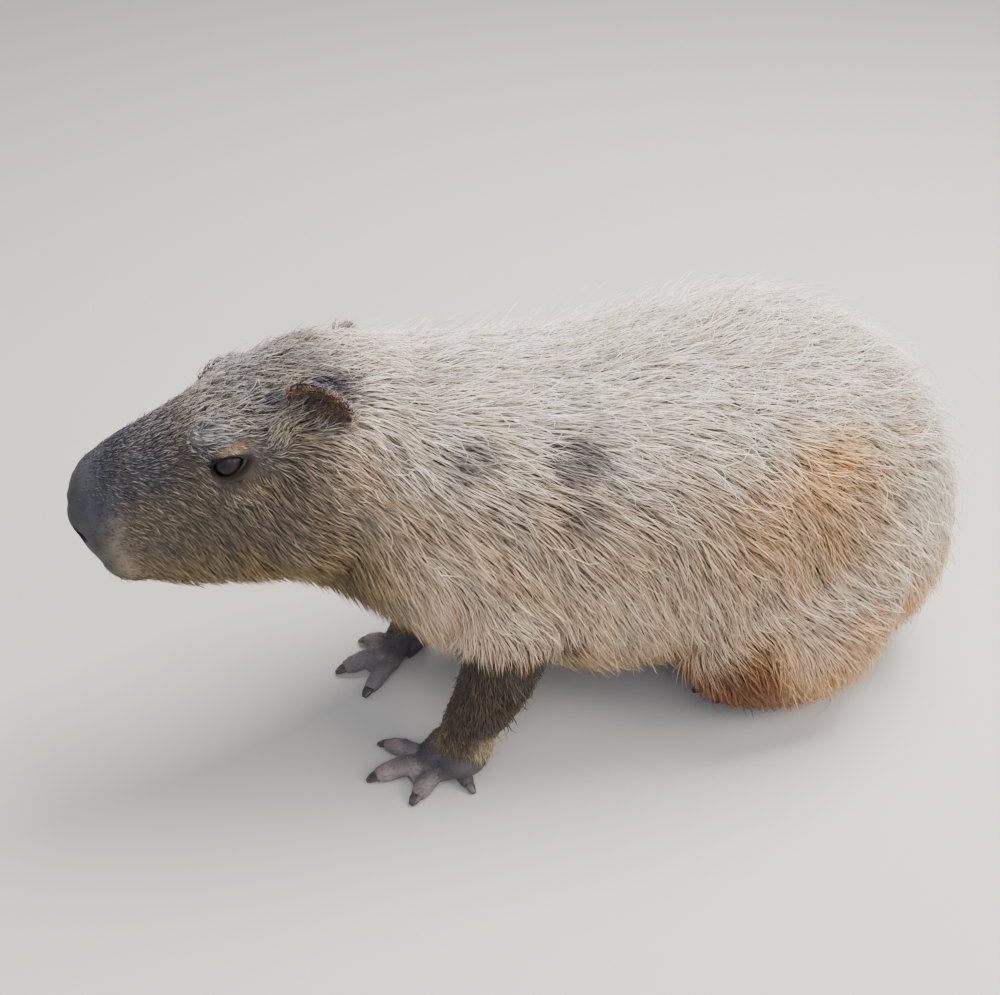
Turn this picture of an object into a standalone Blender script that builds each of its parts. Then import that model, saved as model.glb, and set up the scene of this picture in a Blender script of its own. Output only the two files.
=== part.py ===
"""A capybara crouching with its head stretched out, as a still model of life size.

Metres, +Z up. The animal faces -Y and its left side is at +X. Lengths along the body are
measured from the line of the front feet, and the whole model is centred on its box at the end.
"""

import math
import random

import bmesh
import bpy
import numpy as np
from mathutils import Matrix, Vector
from mathutils.bvhtree import BVHTree

# Driving dimensions
GAP = 0.0003
FOOT_GAP = 0.0009
SIDES = {"left": 1, "right": -1}

# Trunk and neck, front to back: y, middle x, top, widest level, bottom, half width
TRUNK = {
    "throat": (-0.115, -0.014, 0.395, 0.315, 0.232, 0.060),
    "nape": (-0.060, -0.009, 0.410, 0.308, 0.214, 0.078),
    "neck": (0.000, -0.003, 0.412, 0.285, 0.170, 0.096),
    "shoulder": (0.070, 0.000, 0.406, 0.250, 0.118, 0.112),
    "chest": (0.160, 0.000, 0.396, 0.232, 0.090, 0.122),
    "belly": (0.250, 0.000, 0.398, 0.222, 0.082, 0.132),
    "loin": (0.335, 0.000, 0.400, 0.208, 0.060, 0.136),
    "hip": (0.415, 0.000, 0.374, 0.192, 0.034, 0.126),
    "croup": (0.480, 0.000, 0.324, 0.178, 0.030, 0.106),
    "rump": (0.525, 0.000, 0.262, 0.165, 0.055, 0.076),
    "rear": (0.552, 0.000, 0.200, 0.158, 0.115, 0.030),
}
TRUNK_SQUARE = 2.15

# Head in a frame of its own, from the nose back: distance, top, widest level, bottom, half width,
# squareness. Heights are measured from the tip of the nose.
HEAD = {
    "nose": (0.000, -0.014, -0.032, -0.052, 0.022, 2.3),
    "nostrils": (0.008, 0.003, -0.032, -0.074, 0.036, 2.6),
    "lips": (0.030, 0.015, -0.036, -0.094, 0.045, 2.8),
    "muzzle": (0.065, 0.025, -0.044, -0.112, 0.050, 2.8),
    "bridge": (0.105, 0.035, -0.044, -0.118, 0.056, 2.6),
    "brow": (0.145, 0.045, -0.040, -0.124, 0.066, 2.5),
    "cheek": (0.185, 0.052, -0.040, -0.128, 0.073, 2.4),
    "ear": (0.225, 0.054, -0.040, -0.128, 0.074, 2.3),
    "occiput": (0.262, 0.046, -0.034, -0.112, 0.064, 2.2),
}
NOSE_TIP = Vector((-0.036, -0.268, 0.322))
HEAD_TURN = math.radians(10)
HEAD_DROP = math.radians(14)
HEAD_ROLL = math.radians(-3)

# Limbs of the left side, from the top down: x, y, z, radius across, radius along
FORELEG = {
    "shoulder": (0.058, 0.088, 0.280, 0.040, 0.070),
    "upper arm": (0.080, 0.088, 0.210, 0.042, 0.052),
    "elbow": (0.091, 0.076, 0.145, 0.035, 0.038),
    "forearm": (0.090, 0.056, 0.092, 0.029, 0.029),
    "wrist": (0.088, 0.038, 0.050, 0.025, 0.025),
    "heel": (0.090, 0.032, 0.018, 0.022, 0.024),
}
HINDLEG = {
    "hip": (0.085, 0.375, 0.230, 0.045, 0.095),
    "thigh": (0.102, 0.358, 0.160, 0.050, 0.105),
    "knee": (0.104, 0.350, 0.095, 0.048, 0.092),
    "shank": (0.090, 0.365, 0.045, 0.042, 0.080),
    "hock": (0.078, 0.385, 0.014, 0.030, 0.060),
}

# Feet of the left side: sole stations (x, y, z, radius), then each toe's root, tip and thickness
FOREFOOT = {
    "wrist": (0.089, 0.037, 0.062, 0.024),
    "heel": (0.092, 0.034, 0.024, 0.0235),
    "palm": (0.087, 0.002, 0.013, 0.028),
}
FOREFOOT_BACK = ((0.073, 0.008, 0.024), (0.024, 0.034, 0.021))
FORE_TOES = {
    "inner": ((0.075, 0.004), (0.038, -0.030), 0.95),
    "middle": ((0.083, -0.004), (0.075, -0.048), 1.08),
    "outer": ((0.094, 0.002), (0.110, -0.017), 1.0),
    "small": ((0.094, 0.026), (0.111, 0.034), 0.78),
}
HINDFOOT = {
    "back": (0.070, 0.447, 0.018, 0.008),
    "hock": (0.070, 0.436, 0.020, 0.018),
    "heel": (0.069, 0.412, 0.015, 0.024),
    "sole": (0.066, 0.375, 0.013, 0.026),
    "ball": (0.064, 0.345, 0.012, 0.027),
}
HIND_TOES = {
    "inner": ((0.052, 0.352), (0.037, 0.306), 0.95),
    "middle": ((0.063, 0.348), (0.058, 0.294), 1.1),
    "outer": ((0.074, 0.352), (0.077, 0.308), 0.95),
}
TOE_RADIUS = 0.0096
TOE_HEIGHT = 0.0085
WEB_REACH = 0.6
CLAW_LENGTH = 0.014
CLAW_WIDTH = 0.0118
CLAW_DEPTH = 0.008

# Rounded forms of the left half of the head, in its frame: place across, back and up, then radii
FACE_FORMS = {
    "nose wing": ((0.020, 0.012, -0.024), (0.018, 0.013, 0.020)),
    "upper lip": ((0.023, 0.037, -0.068), (0.023, 0.029, 0.025)),
    "brow": ((0.046, 0.152, 0.031), (0.014, 0.026, 0.011)),
    "cheekbone": ((0.056, 0.160, -0.020), (0.016, 0.030, 0.014)),
    "jaw": ((0.046, 0.195, -0.068), (0.032, 0.046, 0.044)),
}

# Eyes, lids, ears, nostrils, mouth and tail, in the head's frame: across, back from the nose, up
EYE_PLACE = (0.0565, 0.154, 0.010)
EYE_RADIUS = 0.0138
LID_HALF_LENGTH = 0.0158
LID_HALF_HEIGHT = 0.0112
LID_THICKNESS = 0.0031
EAR_PLACE = (0.057, 0.221, 0.032)
EAR_LENGTH = 0.044
EAR_WIDTH = 0.056
EAR_CUP = 0.015
# Each ear's lean: outwards, back and up; the right one is laid back further
EAR_LEANS = {"left": (0.22, 0.62, 0.62), "right": (0.34, 0.90, 0.18)}
EAR_WALL = 0.0030
NOSTRIL_PLACE = (0.021, 0.003, -0.034)
NOSTRIL_SIZE = (0.0055, 0.0090, 0.0105)
MOUTH_LEVEL = -0.080
MOUTH_LENGTH = 0.062
MOUTH_OPENING = 0.0022
MOUTH_DEPTH = 0.006
MOUTH_START = 0.006
MOUTH_DROP = 0.016
TAIL_PLACE = (0.0, 0.564, 0.148)
TAIL_SIZE = (0.010, 0.016, 0.011)

# Cuts between nodes: a point's y on the middle line, its z, and the lean of the cut from upright
HEAD_CUT = (-0.018, 0.31, math.radians(5))
NECK_CUT = (0.046, 0.28, math.radians(-15))
WRIST_LEVEL = 0.044
# The oval space that each left leg fills: its middle, then its half sizes
FORELEG_ZONE = ((0.104, 0.070, 0.060), (0.070, 0.095, 0.135))
HINDLEG_ZONE = ((0.135, 0.362, 0.060), (0.095, 0.130, 0.150))

# How far the tips of the coat stand off the skin
FACE_COAT = 0.002
NECK_COAT = 0.009
RUMP_COAT = 0.014
BELLY_FRINGE = 0.012
CORE_SHARE = 0.45

# Locks of the coat: their spacing and size, and where their rows start and stop
LOCK_SPACING = 0.068
LOCK_LENGTH = 0.112
LOCK_WIDTH = 0.050
LOCK_THICKNESS = 0.0080
LOCK_ROOT = 0.006
LOCK_TIP_LIFT = 0.007
LOCK_BEND = 0.45
SHORTEST_LOCK = 0.045
ROWS_FROM = 0.000
ROWS_TO = 0.530
SEED = 8

# Blending of the flesh
BODY_VOXEL = 0.006
FOOT_VOXEL = 0.0028
FINE_TRIANGLES = 15000
BODY_TRIANGLES = 1800
HEAD_TRIANGLES = 1400
FOOT_TRIANGLES = 340
# An intersection that leaves less of a body than this has gone wrong
SMALLEST_SHARE = 0.01


def material(name, colour, roughness):
    made = bpy.data.materials.new(name)
    made.use_nodes = True
    shader = made.node_tree.nodes["Principled BSDF"]
    shader.inputs["Base Color"].default_value = (*colour, 1.0)
    shader.inputs["Roughness"].default_value = roughness
    shader.inputs["Metallic"].default_value = 0.0
    return made


def clear_scene():
    for thing in list(bpy.data.objects):
        bpy.data.objects.remove(thing)


def spaced(stations, steps):
    """Stations with smooth ones added between each two (Catmull-Rom)."""
    rows = np.array(list(stations), float)
    ends = np.vstack([2 * rows[0] - rows[1], rows, 2 * rows[-1] - rows[-2]])
    out = []
    for i in range(len(rows) - 1):
        before, start, stop, after = ends[i : i + 4]
        for t in np.arange(steps) / steps:
            slope = (stop - before) * t
            curve = (2 * before - 5 * start + 4 * stop - after) * t**2
            twist = (3 * start - before - 3 * stop + after) * t**3
            out.append(start + (slope + curve + twist) / 2)
    out.append(rows[-1])
    return out


def oval(half, top, level, bottom, square, sides):
    """(across, up) points of a rounded section, widest at its level."""
    angles = np.linspace(0, 2 * math.pi, sides, endpoint=False)
    cosine, sine = np.cos(angles), np.sin(angles)
    power = 2 / square
    across = half * np.sign(cosine) * np.abs(cosine) ** power
    reach = np.where(sine > 0, top - level, level - bottom)
    return np.stack([across, level + reach * np.sign(sine) * np.abs(sine) ** power], -1)


def mesh_object(name, points, faces):
    mesh = bpy.data.meshes.new(name)
    mesh.from_pydata([tuple(p) for p in points], [], faces)
    builder = bmesh.new()
    builder.from_mesh(mesh)
    bmesh.ops.recalc_face_normals(builder, faces=builder.faces)
    if builder.calc_volume(signed=True) < 0:
        bmesh.ops.reverse_faces(builder, faces=builder.faces)
    builder.to_mesh(mesh)
    builder.free()
    made = bpy.data.objects.new(name, mesh)
    bpy.context.scene.collection.objects.link(made)
    return made


def lofted(name, rings):
    """A closed body through rings of points, its ends filled."""
    sides = len(rings[0])
    points = [p for ring in rings for p in ring]
    faces = []
    for i in range(len(rings) - 1):
        for j in range(sides):
            k = (j + 1) % sides
            low, high = i * sides, (i + 1) * sides
            faces.append((low + j, low + k, high + k, high + j))
    faces.append(tuple(range(sides)))
    faces.append(tuple(range(len(points) - sides, len(points))))
    return mesh_object(name, points, faces)


def head_axes():
    """Sideways, back from the nose, and up, in the turned and lowered head."""
    level = math.cos(HEAD_DROP)
    back = Vector((math.sin(HEAD_TURN) * level, math.cos(HEAD_TURN) * level, math.sin(HEAD_DROP)))
    level_side = Vector((math.cos(HEAD_TURN), -math.sin(HEAD_TURN), 0.0))
    side = Matrix.Rotation(HEAD_ROLL, 3, back) @ level_side
    return side, back, side.cross(back)


def on_head(across, back, up):
    side_axis, back_axis, up_axis = head_axes()
    return NOSE_TIP + side_axis * across + back_axis * back + up_axis * up


def trunk():
    rings = []
    for y, middle, top, level, bottom, half in spaced(TRUNK.values(), 3):
        section = oval(half, top, level, bottom, TRUNK_SQUARE, 36)
        rings.append([(middle + across, y, up) for across, up in section])
    return lofted("trunk", rings)


def skull():
    rings = []
    for back, top, level, bottom, half, square in spaced(HEAD.values(), 4):
        section = oval(half, top, level, bottom, square, 36)
        rings.append([on_head(across, back, up) for across, up in section])
    return lofted("skull", rings)


def limb(name, stations, side):
    rings = []
    for x, y, z, wide, deep in spaced(stations, 3):
        turn = np.linspace(0, 2 * math.pi, 20, endpoint=False)
        rings.append([(side * (x + wide * math.cos(t)), y + deep * math.sin(t), z) for t in turn])
    return lofted(name, rings)


def ball(name, place, radii, turn=None, detail=(20, 12)):
    """An oval ball; turn is a rotation matrix for its axes."""
    builder = bmesh.new()
    bmesh.ops.create_uvsphere(builder, u_segments=detail[0], v_segments=detail[1], radius=1.0)
    frame = Matrix.Translation(place) @ (turn or Matrix.Identity(3)).to_4x4() @ Matrix.Diagonal((*radii, 1))
    builder.transform(frame)
    mesh = bpy.data.meshes.new(name)
    builder.to_mesh(mesh)
    builder.free()
    made = bpy.data.objects.new(name, mesh)
    bpy.context.scene.collection.objects.link(made)
    return made


def tube(name, points, radii, sides=8, flatten=1.0):
    """A closed body of oval sections along a path; flatten is its height against its width."""
    points = [Vector(p) for p in points]
    rings = []
    for i, (place, radius) in enumerate(zip(points, radii)):
        ahead = points[min(i + 1, len(points) - 1)] - points[max(i - 1, 0)]
        across = ahead.cross(Vector((0, 0, 1))).normalized()
        up = across.cross(ahead).normalized()
        turn = np.linspace(0, 2 * math.pi, sides, endpoint=False)
        rings.append(
            [place + across * (radius * math.cos(t)) + up * (radius * flatten * math.sin(t)) for t in turn]
        )
    return lofted(name, rings)


def settle(thing):
    """The object's mesh as its modifiers leave it."""
    bpy.context.view_layer.update()
    graph = bpy.context.evaluated_depsgraph_get()
    made = bpy.data.meshes.new_from_object(thing.evaluated_get(graph))
    old = thing.data
    thing.modifiers.clear()
    thing.data = made
    bpy.data.meshes.remove(old)
    return thing


def joined(name, things):
    """One object that holds all these closed bodies as they are."""
    builder = bmesh.new()
    for thing in things:
        builder.from_mesh(thing.data)
    mesh = bpy.data.meshes.new(name)
    builder.to_mesh(mesh)
    builder.free()
    for thing in things:
        bpy.data.objects.remove(thing)
    made = bpy.data.objects.new(name, mesh)
    bpy.context.scene.collection.objects.link(made)
    return made


def blended(name, things, voxel, rounds, triangles):
    """The bodies melted into one smooth skin of about that many triangles."""
    whole = joined(name, things)
    remesh = whole.modifiers.new("melt", "REMESH")
    remesh.mode = "VOXEL"
    remesh.voxel_size = voxel
    relax = whole.modifiers.new("relax", "SMOOTH")
    relax.factor = 0.5
    relax.iterations = rounds
    settle(whole)
    return thinned(whole, triangles)


def thinned(thing, triangles):
    keep_largest(thing)
    count = sum(len(face.vertices) - 2 for face in thing.data.polygons)
    if count > triangles:
        fewer = thing.modifiers.new("fewer", "DECIMATE")
        fewer.ratio = triangles / count
        settle(thing)
    return thing


def keep_largest(thing):
    """Leaves only the closed surface with the largest volume."""
    builder = bmesh.new()
    builder.from_mesh(thing.data)
    seen = set()
    islands = []
    for face in builder.faces:
        if face in seen:
            continue
        island = []
        waiting = [face]
        seen.add(face)
        while waiting:
            here = waiting.pop()
            island.append(here)
            for edge in here.edges:
                for other in edge.link_faces:
                    if other not in seen:
                        seen.add(other)
                        waiting.append(other)
        islands.append(island)
    if len(islands) > 1:
        largest = max(islands, key=island_volume)
        for island in islands:
            if island is not largest:
                bmesh.ops.delete(builder, geom=island, context="FACES")
    loose = [v for v in builder.verts if not v.link_faces]
    bmesh.ops.delete(builder, geom=loose, context="VERTS")
    builder.to_mesh(thing.data)
    builder.free()


def island_volume(island):
    total = 0.0
    for face in island:
        first = face.verts[0].co
        for one, two in zip(face.verts[1:], face.verts[2:]):
            total += first.dot(one.co.cross(two.co))
    return total


def boolean(thing, other, operation):
    """Applies one Boolean. The other may be an object or a list of objects, which are used up."""
    before = thing.data.copy()
    pieces = other if isinstance(other, list) else [other]
    group = bpy.data.collections.new("pieces")
    bpy.context.scene.collection.children.link(group)
    for piece in pieces:
        group.objects.link(piece)
    full = volume(before)
    taken = sum(volume(piece.data) for piece in pieces)
    least = {"UNION": full, "DIFFERENCE": full - taken, "INTERSECT": full * SMALLEST_SHARE}[operation]
    for solver in ("EXACT", "MANIFOLD"):
        change = thing.modifiers.new("change", "BOOLEAN")
        change.operation = operation
        change.solver = solver
        change.operand_type = "COLLECTION"
        change.collection = group
        settle(thing)
        if volume(thing.data) > least * 0.999:
            break
        thing.data = before.copy()
    bpy.data.collections.remove(group)
    if isinstance(other, list):
        for piece in pieces:
            bpy.data.objects.remove(piece)
    return thing


def volume(mesh):
    """The volume of a closed mesh, or 0 where it is open."""
    builder = bmesh.new()
    builder.from_mesh(mesh)
    whole = all(edge.is_manifold for edge in builder.edges)
    inside_it = builder.calc_volume(signed=True) if whole else 0.0
    builder.free()
    return inside_it


def copied(thing, name):
    made = bpy.data.objects.new(name, thing.data.copy())
    bpy.context.scene.collection.objects.link(made)
    return made


def grown(thing, amount):
    """A copy with its surface pushed out by the amount, evenly round its corners too."""
    made = copied(thing, thing.name + " grown")
    builder = bmesh.new()
    builder.from_mesh(made.data)
    moves = [v.normal * (amount * min(3.0, v.calc_shell_factor())) for v in builder.verts]
    for vertex, move in zip(builder.verts, moves):
        vertex.co += move
    builder.to_mesh(made.data)
    builder.free()
    return made


def half_space(place, normal, name="half"):
    """A large block whose face lies through the place; the block is on the normal's side."""
    size = 2.0
    normal = Vector(normal).normalized()
    builder = bmesh.new()
    bmesh.ops.create_cube(builder, size=size)
    turn = Vector((0, 0, 1)).rotation_difference(normal).to_matrix().to_4x4()
    builder.transform(Matrix.Translation(Vector(place) + normal * size / 2) @ turn)
    mesh = bpy.data.meshes.new(name)
    builder.to_mesh(mesh)
    builder.free()
    made = bpy.data.objects.new(name, mesh)
    bpy.context.scene.collection.objects.link(made)
    return made


def cut(thing, keep=(), drop=()):
    """Keeps what lies inside each of one list of bodies and outside each of the other."""
    for other in keep:
        boolean(thing, other, "INTERSECT")
        bpy.data.objects.remove(other)
    for other in drop:
        boolean(thing, other, "DIFFERENCE")
        bpy.data.objects.remove(other)
    keep_largest(thing)
    return thing


def cut_plane(cut):
    """A point on the cut and its normal, which looks back along the body."""
    y, z, lean = cut
    return Vector((0, y, z)), Vector((0, math.cos(lean), math.sin(lean)))


def finish(thing, name, skin):
    thing.name = name
    thing.data.name = name
    thing.data.materials.clear()
    thing.data.materials.append(skin)
    thing.data.shade_smooth()
    thing.data.set_sharp_from_angle(angle=math.radians(50))
    return thing


def zone_ball(zone, side, extra):
    """The oval space of one leg, grown by the extra on every side."""
    (x, y, z), radii = zone
    return ball("zone", (side * x, y, z), [r + extra for r in radii], detail=(20, 12))


def flesh():
    pieces = [trunk(), skull()]
    face_turn = Matrix(head_axes()).transposed()
    for side in SIDES.values():
        for name, ((across, back, up), radii) in FACE_FORMS.items():
            pieces.append(ball(name, on_head(side * across, back, up), radii, face_turn))
        pieces.append(limb("foreleg", FORELEG.values(), side))
        pieces.append(limb("hindleg", HINDLEG.values(), side))
    return blended("flesh", pieces, BODY_VOXEL, 6, FINE_TRIANGLES)


def ease(low, high, value):
    share = min(1.0, max(0.0, (value - low) / (high - low)))
    return share * share * (3 - 2 * share)


def coat_depth(place, normal):
    """Thin on the face and feet, longer down the neck to the rump, with a fringe under the belly."""
    depth = FACE_COAT + (NECK_COAT - FACE_COAT) * ease(-0.16, 0.0, place.y)
    depth += (RUMP_COAT - NECK_COAT) * ease(0.15, 0.40, place.y)
    under = ease(0.1, 0.8, -normal.z) * ease(0.02, 0.12, place.y) * ease(0.36, 0.24, place.y)
    depth += BELLY_FRINGE * under
    return depth * ease(0.0, 0.14, place.z)


def in_coat(thing, share):
    """The skin pushed out by a share of its coat."""
    moves = [v.normal * (share * coat_depth(v.co, v.normal)) for v in thing.data.vertices]
    for vertex, move in zip(thing.data.vertices, moves):
        vertex.co += move
    return thing


def foot(name, sole, toes, side, more=()):
    """Sole and toes as one skin, with a web between the roots of the toes."""
    middles = [(side * x, y, z) for x, y, z, radius in sole.values()]
    radii = [radius for x, y, z, radius in sole.values()]
    pieces = [tube("sole", middles, radii, sides=16, flatten=0.62), *more]
    places = list(toes.values())
    for root, tip, thick in places:
        pieces.append(toe(root, tip, thick, side))
    for first, second in zip(places, places[1:]):
        pieces.append(web(first, second, side))
    made = blended(name, pieces, FOOT_VOXEL, 3, FOOT_TRIANGLES)
    return cut(made, keep=[half_space((0, 0, 0), (0, 0, 1))])


def along(start, stop, share):
    return [a + (b - a) * share for a, b in zip(start, stop)]


def toe(root, tip, thick, side):
    """Along the toe the knuckle rises, then the toe slopes down to the floor."""
    shares = (0.0, 0.3, 0.55, 0.8, 0.98)
    heights = (1.15, 1.35, 1.3, 0.95, 0.75)
    widths = (1.0, 0.95, 0.98, 0.9, 0.66)
    points = []
    for share, height in zip(shares, heights):
        x, y = along(root, tip, share)
        points.append((side * x, y, TOE_HEIGHT * height * thick))
    return tube("toe", points, [TOE_RADIUS * thick * w for w in widths], sides=12, flatten=0.9)


def web(first, second, side):
    """Skin between two toes, from their roots to a share of their length."""
    root = along(first[0], second[0], 0.5)
    end = along(along(first[0], first[1], WEB_REACH), along(second[0], second[1], WEB_REACH), 0.5)
    near = math.dist(first[0], second[0])
    far = math.dist(along(first[0], first[1], WEB_REACH), along(second[0], second[1], WEB_REACH))
    points = [(side * root[0], root[1], 0.010), (side * end[0], end[1], 0.0065)]
    return tube("web", points, [near * 0.5 + 0.004, far * 0.5], sides=12, flatten=0.28)


def claw(name, root, tip, thick, side, extra=0.0):
    """A blunt nail at the end of a toe, curved down to its edge."""
    ahead = Vector((side * (tip[0] - root[0]), tip[1] - root[1], 0)).normalized()
    end = Vector((side * tip[0], tip[1], 0))
    shares = (-0.55, -0.1, 0.3, 0.62)
    lifts = (0.0078, 0.0074, 0.0052, 0.0026)
    widths = (0.80, 1.0, 0.86, 0.42)
    points = [end + ahead * (CLAW_LENGTH * s) + Vector((0, 0, lift)) for s, lift in zip(shares, lifts)]
    points[0] -= ahead * extra
    points[-1] += ahead * extra
    radii = [CLAW_WIDTH / 2 * w * thick + extra for w in widths]
    return tube(name, points, radii, sides=8, flatten=CLAW_DEPTH / CLAW_WIDTH * 0.62)


def eye(name, side, extra=0.0):
    across, back, up = EYE_PLACE
    radius = EYE_RADIUS + extra
    return ball(name, on_head(side * across, back, up), (radius,) * 3, detail=(14, 8))


def eye_axes(side):
    """Out of the eye, along its slit and up across it."""
    side_axis, back_axis, up_axis = head_axes()
    out = (side_axis * side * 0.93 - back_axis * 0.22 + up_axis * 0.30).normalized()
    along = (back_axis - out * back_axis.dot(out)).normalized()
    return out, along, along.cross(out).normalized() * side


def lids(side):
    """A ring of skin round the slit, thicker above."""
    out, along, up = eye_axes(side)
    if up.dot(head_axes()[2]) < 0:
        up = -up
    middle = on_head(side * EYE_PLACE[0], EYE_PLACE[1], EYE_PLACE[2]) + out * (EYE_RADIUS * 0.66)
    rings = []
    count = 16
    for i in range(count):
        angle = 2 * math.pi * i / count
        reach = along * (LID_HALF_LENGTH * math.cos(angle)) + up * (LID_HALF_HEIGHT * math.sin(angle))
        place = middle + reach - out * (reach.length * 0.28)
        radial = reach.normalized()
        thick = LID_THICKNESS * (1.15 if math.sin(angle) > 0 else 0.9)
        turn = np.linspace(0, 2 * math.pi, 5, endpoint=False)
        rings.append([place + radial * (thick * math.cos(t)) + out * (thick * math.sin(t)) for t in turn])
    return ring_body("lids", rings)


def ring_body(name, rings):
    """A closed loop of sections, the last joined to the first."""
    sides = len(rings[0])
    points = [p for ring in rings for p in ring]
    faces = []
    for i in range(len(rings)):
        low, high = i * sides, (i + 1) % len(rings) * sides
        for j in range(sides):
            k = (j + 1) % sides
            faces.append((low + j, low + k, high + k, high + j))
    return mesh_object(name, points, faces)


def ear(name, side, lean):
    """A small cupped ear: a bowl-shaped leaf, open outwards and a little forwards, on a thick root."""
    side_axis, back_axis, up_axis = head_axes()
    stand = (side_axis * side * lean[0] + back_axis * lean[1] + up_axis * lean[2]).normalized()
    face = (side_axis * side * 0.90 - back_axis * 0.28 - up_axis * 0.10)
    face = (face - stand * face.dot(stand)).normalized()
    across = stand.cross(face).normalized()
    root = on_head(side * EAR_PLACE[0], EAR_PLACE[1], EAR_PLACE[2]) - stand * (EAR_LENGTH * 0.16)
    rows = 7
    columns = 9
    front, rear = [], []
    for i in range(rows):
        share = i / (rows - 1)
        width = EAR_WIDTH / 2 * math.sqrt(max(0.0, 1 - ((share - 0.50) / 0.52) ** 2) + 0.02)
        wall = EAR_WALL * (1.6 - share)
        for j in range(columns):
            turn = (j / (columns - 1) - 0.5) * 2
            depth = EAR_CUP * (1 - turn**2) * math.sin(math.pi * min(1.0, share * 0.9 + 0.15))
            curl = EAR_CUP * 0.5 * share**2
            place = root + stand * (EAR_LENGTH * share) + across * (width * turn)
            front.append(place - face * (depth - curl))
            rear.append(place - face * (depth - curl + wall * (1 - 0.55 * turn**2)))
    points = front + rear
    faces = []
    size = rows * columns
    for i in range(rows - 1):
        for j in range(columns - 1):
            a = i * columns + j
            faces.append((a, a + 1, a + columns + 1, a + columns))
            faces.append((size + a, size + a + columns, size + a + columns + 1, size + a + 1))
    edge = list(range(columns))
    edge += [i * columns + columns - 1 for i in range(1, rows)]
    edge += [(rows - 1) * columns + j for j in range(columns - 2, -1, -1)]
    edge += [i * columns for i in range(rows - 2, 0, -1)]
    for a, b in zip(edge, edge[1:] + edge[:1]):
        faces.append((a, size + a, size + b, b))
    return mesh_object(name, points, faces)


def muzzle_path(level, steps):
    """Points round the front of the muzzle at one level of the head, from corner to corner."""
    stations = np.array(spaced(HEAD.values(), 12))
    points = []
    for i in range(2 * steps + 1):
        share = i / steps - 1
        back = MOUTH_LENGTH * abs(share) ** 1.6 + MOUTH_START
        row = [np.interp(back, stations[:, 0], stations[:, k]) for k in range(6)]
        wide, bottom, half, square = row[2:]
        reach = min(0.98, (wide - level) / (wide - bottom))
        width = half * (1 - reach**square) ** (1 / square)
        across = math.copysign(min(1.0, abs(share) * 3.2), share) * width if share else 0.0
        points.append((across, back, level - MOUTH_DROP * share**2))
    return points


def mouth_strip(name, level, inner, outer, height):
    """A thin wedge that follows the mouth round the muzzle."""
    rings = []
    path = muzzle_path(level, 10)
    for i, (across, back, up) in enumerate(path):
        ahead = path[min(i + 1, len(path) - 1)]
        behind = path[max(i - 1, 0)]
        run = Vector((ahead[0] - behind[0], ahead[1] - behind[1])).normalized()
        normal = Vector((run.y, -run.x))
        if normal.y > 0 and abs(across) < 0.01:
            normal = -normal
        share = 1 - 0.75 * abs(i / (len(path) - 1) * 2 - 1)
        ring = []
        for reach, rise in ((outer, 1), (outer, -1), (-inner, -0.3), (-inner, 0.3)):
            ring.append(
                on_head(across + normal.x * reach, back + normal.y * reach, up + rise * height * share)
            )
        rings.append(ring)
    return lofted(name, rings)


def lie(normal):
    """The way the coat lies: back along the spine, down and back on the flanks, down over the rump."""
    flank = 1 - max(0.0, normal.z)
    way = Vector((0, 1 - 0.45 * flank, -0.12 - 0.85 * flank))
    return (way - normal * way.dot(normal)).normalized()


def inside(zone, side, place, margin):
    (x, y, z), radii = zone
    reach = [(place[i] - (side * x, y, z)[i]) / (radii[i] + margin) for i in range(3)]
    return sum(r * r for r in reach) < 1


def owner(place, margin=0.0):
    """The node in whose space a place lies, or none within the margin of a cut."""
    found = set()
    for shift in (-margin, margin):
        name = "torso"
        for cutting, front_name in ((NECK_CUT, "neck"), (HEAD_CUT, "head")):
            point, normal = cut_plane(cutting)
            if (place - point).dot(normal) < shift:
                name = front_name
        for word, side in SIDES.items():
            if inside(FORELEG_ZONE, side, place, shift):
                name = f"foreleg_{word}"
            if inside(HINDLEG_ZONE, side, place, shift):
                name = f"hindleg_{word}"
        found.add(name)
    return found.pop() if len(found) == 1 else None


def walk(tree, place, length, steps, turn):
    """Places and normals along the lie of the coat, each on the surface; turn bends the path sideways."""
    trail = []
    for i in range(steps + 1):
        place, normal = tree.find_nearest(place)[:2]
        way = Matrix.Rotation(turn * i / steps, 3, normal) @ lie(normal)
        trail.append((place, normal, way))
        place = place + way * (length / steps)
    return trail


def lock(tree, root, home, draw):
    """One flat tapered lock, rooted in the surface, that ends before it leaves its own node."""
    length = LOCK_LENGTH * draw.uniform(0.85, 1.1)
    turn = draw.uniform(-LOCK_BEND, LOCK_BEND)
    trail = walk(tree, root, length, 10, turn)
    own = [owner(place, 0.003) == home for place, normal, way in trail]
    if False in own:
        length *= (own.index(False) - 1) / 10
    if length < SHORTEST_LOCK:
        return None
    trail = walk(tree, root, length, 8, turn)
    shares = (0, 1, 3, 6, 8)
    widths = (0.55, 0.85, 1.0, 0.66, 0.05)
    depths = (1.0, 1.0, 0.9, 0.6, 0.12)
    lifts = (-1.0, -0.1, 0.25, 0.45, 1.0)
    size = min(1.0, 0.55 + 0.45 * length / LOCK_LENGTH) * draw.uniform(0.88, 1.08)
    tip = LOCK_TIP_LIFT * draw.uniform(0.8, 1.5) * (0.7 + 0.6 * ease(0.2, 0.4, root.y))
    rings = []
    for step, wide, deep, raise_by in zip(shares, widths, depths, lifts):
        place, normal, way = trail[step]
        across = normal.cross(way)
        lift = raise_by * (LOCK_ROOT if raise_by < 0 else tip)
        middle = place + normal * (lift + LOCK_THICKNESS * 0.25)
        reach = across * (LOCK_WIDTH * size * wide / 2)
        rise = normal * (LOCK_THICKNESS * deep / 2)
        rings.append([middle - reach - rise, middle + rise, middle + reach - rise])
    return lofted("lock", rings)


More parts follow.
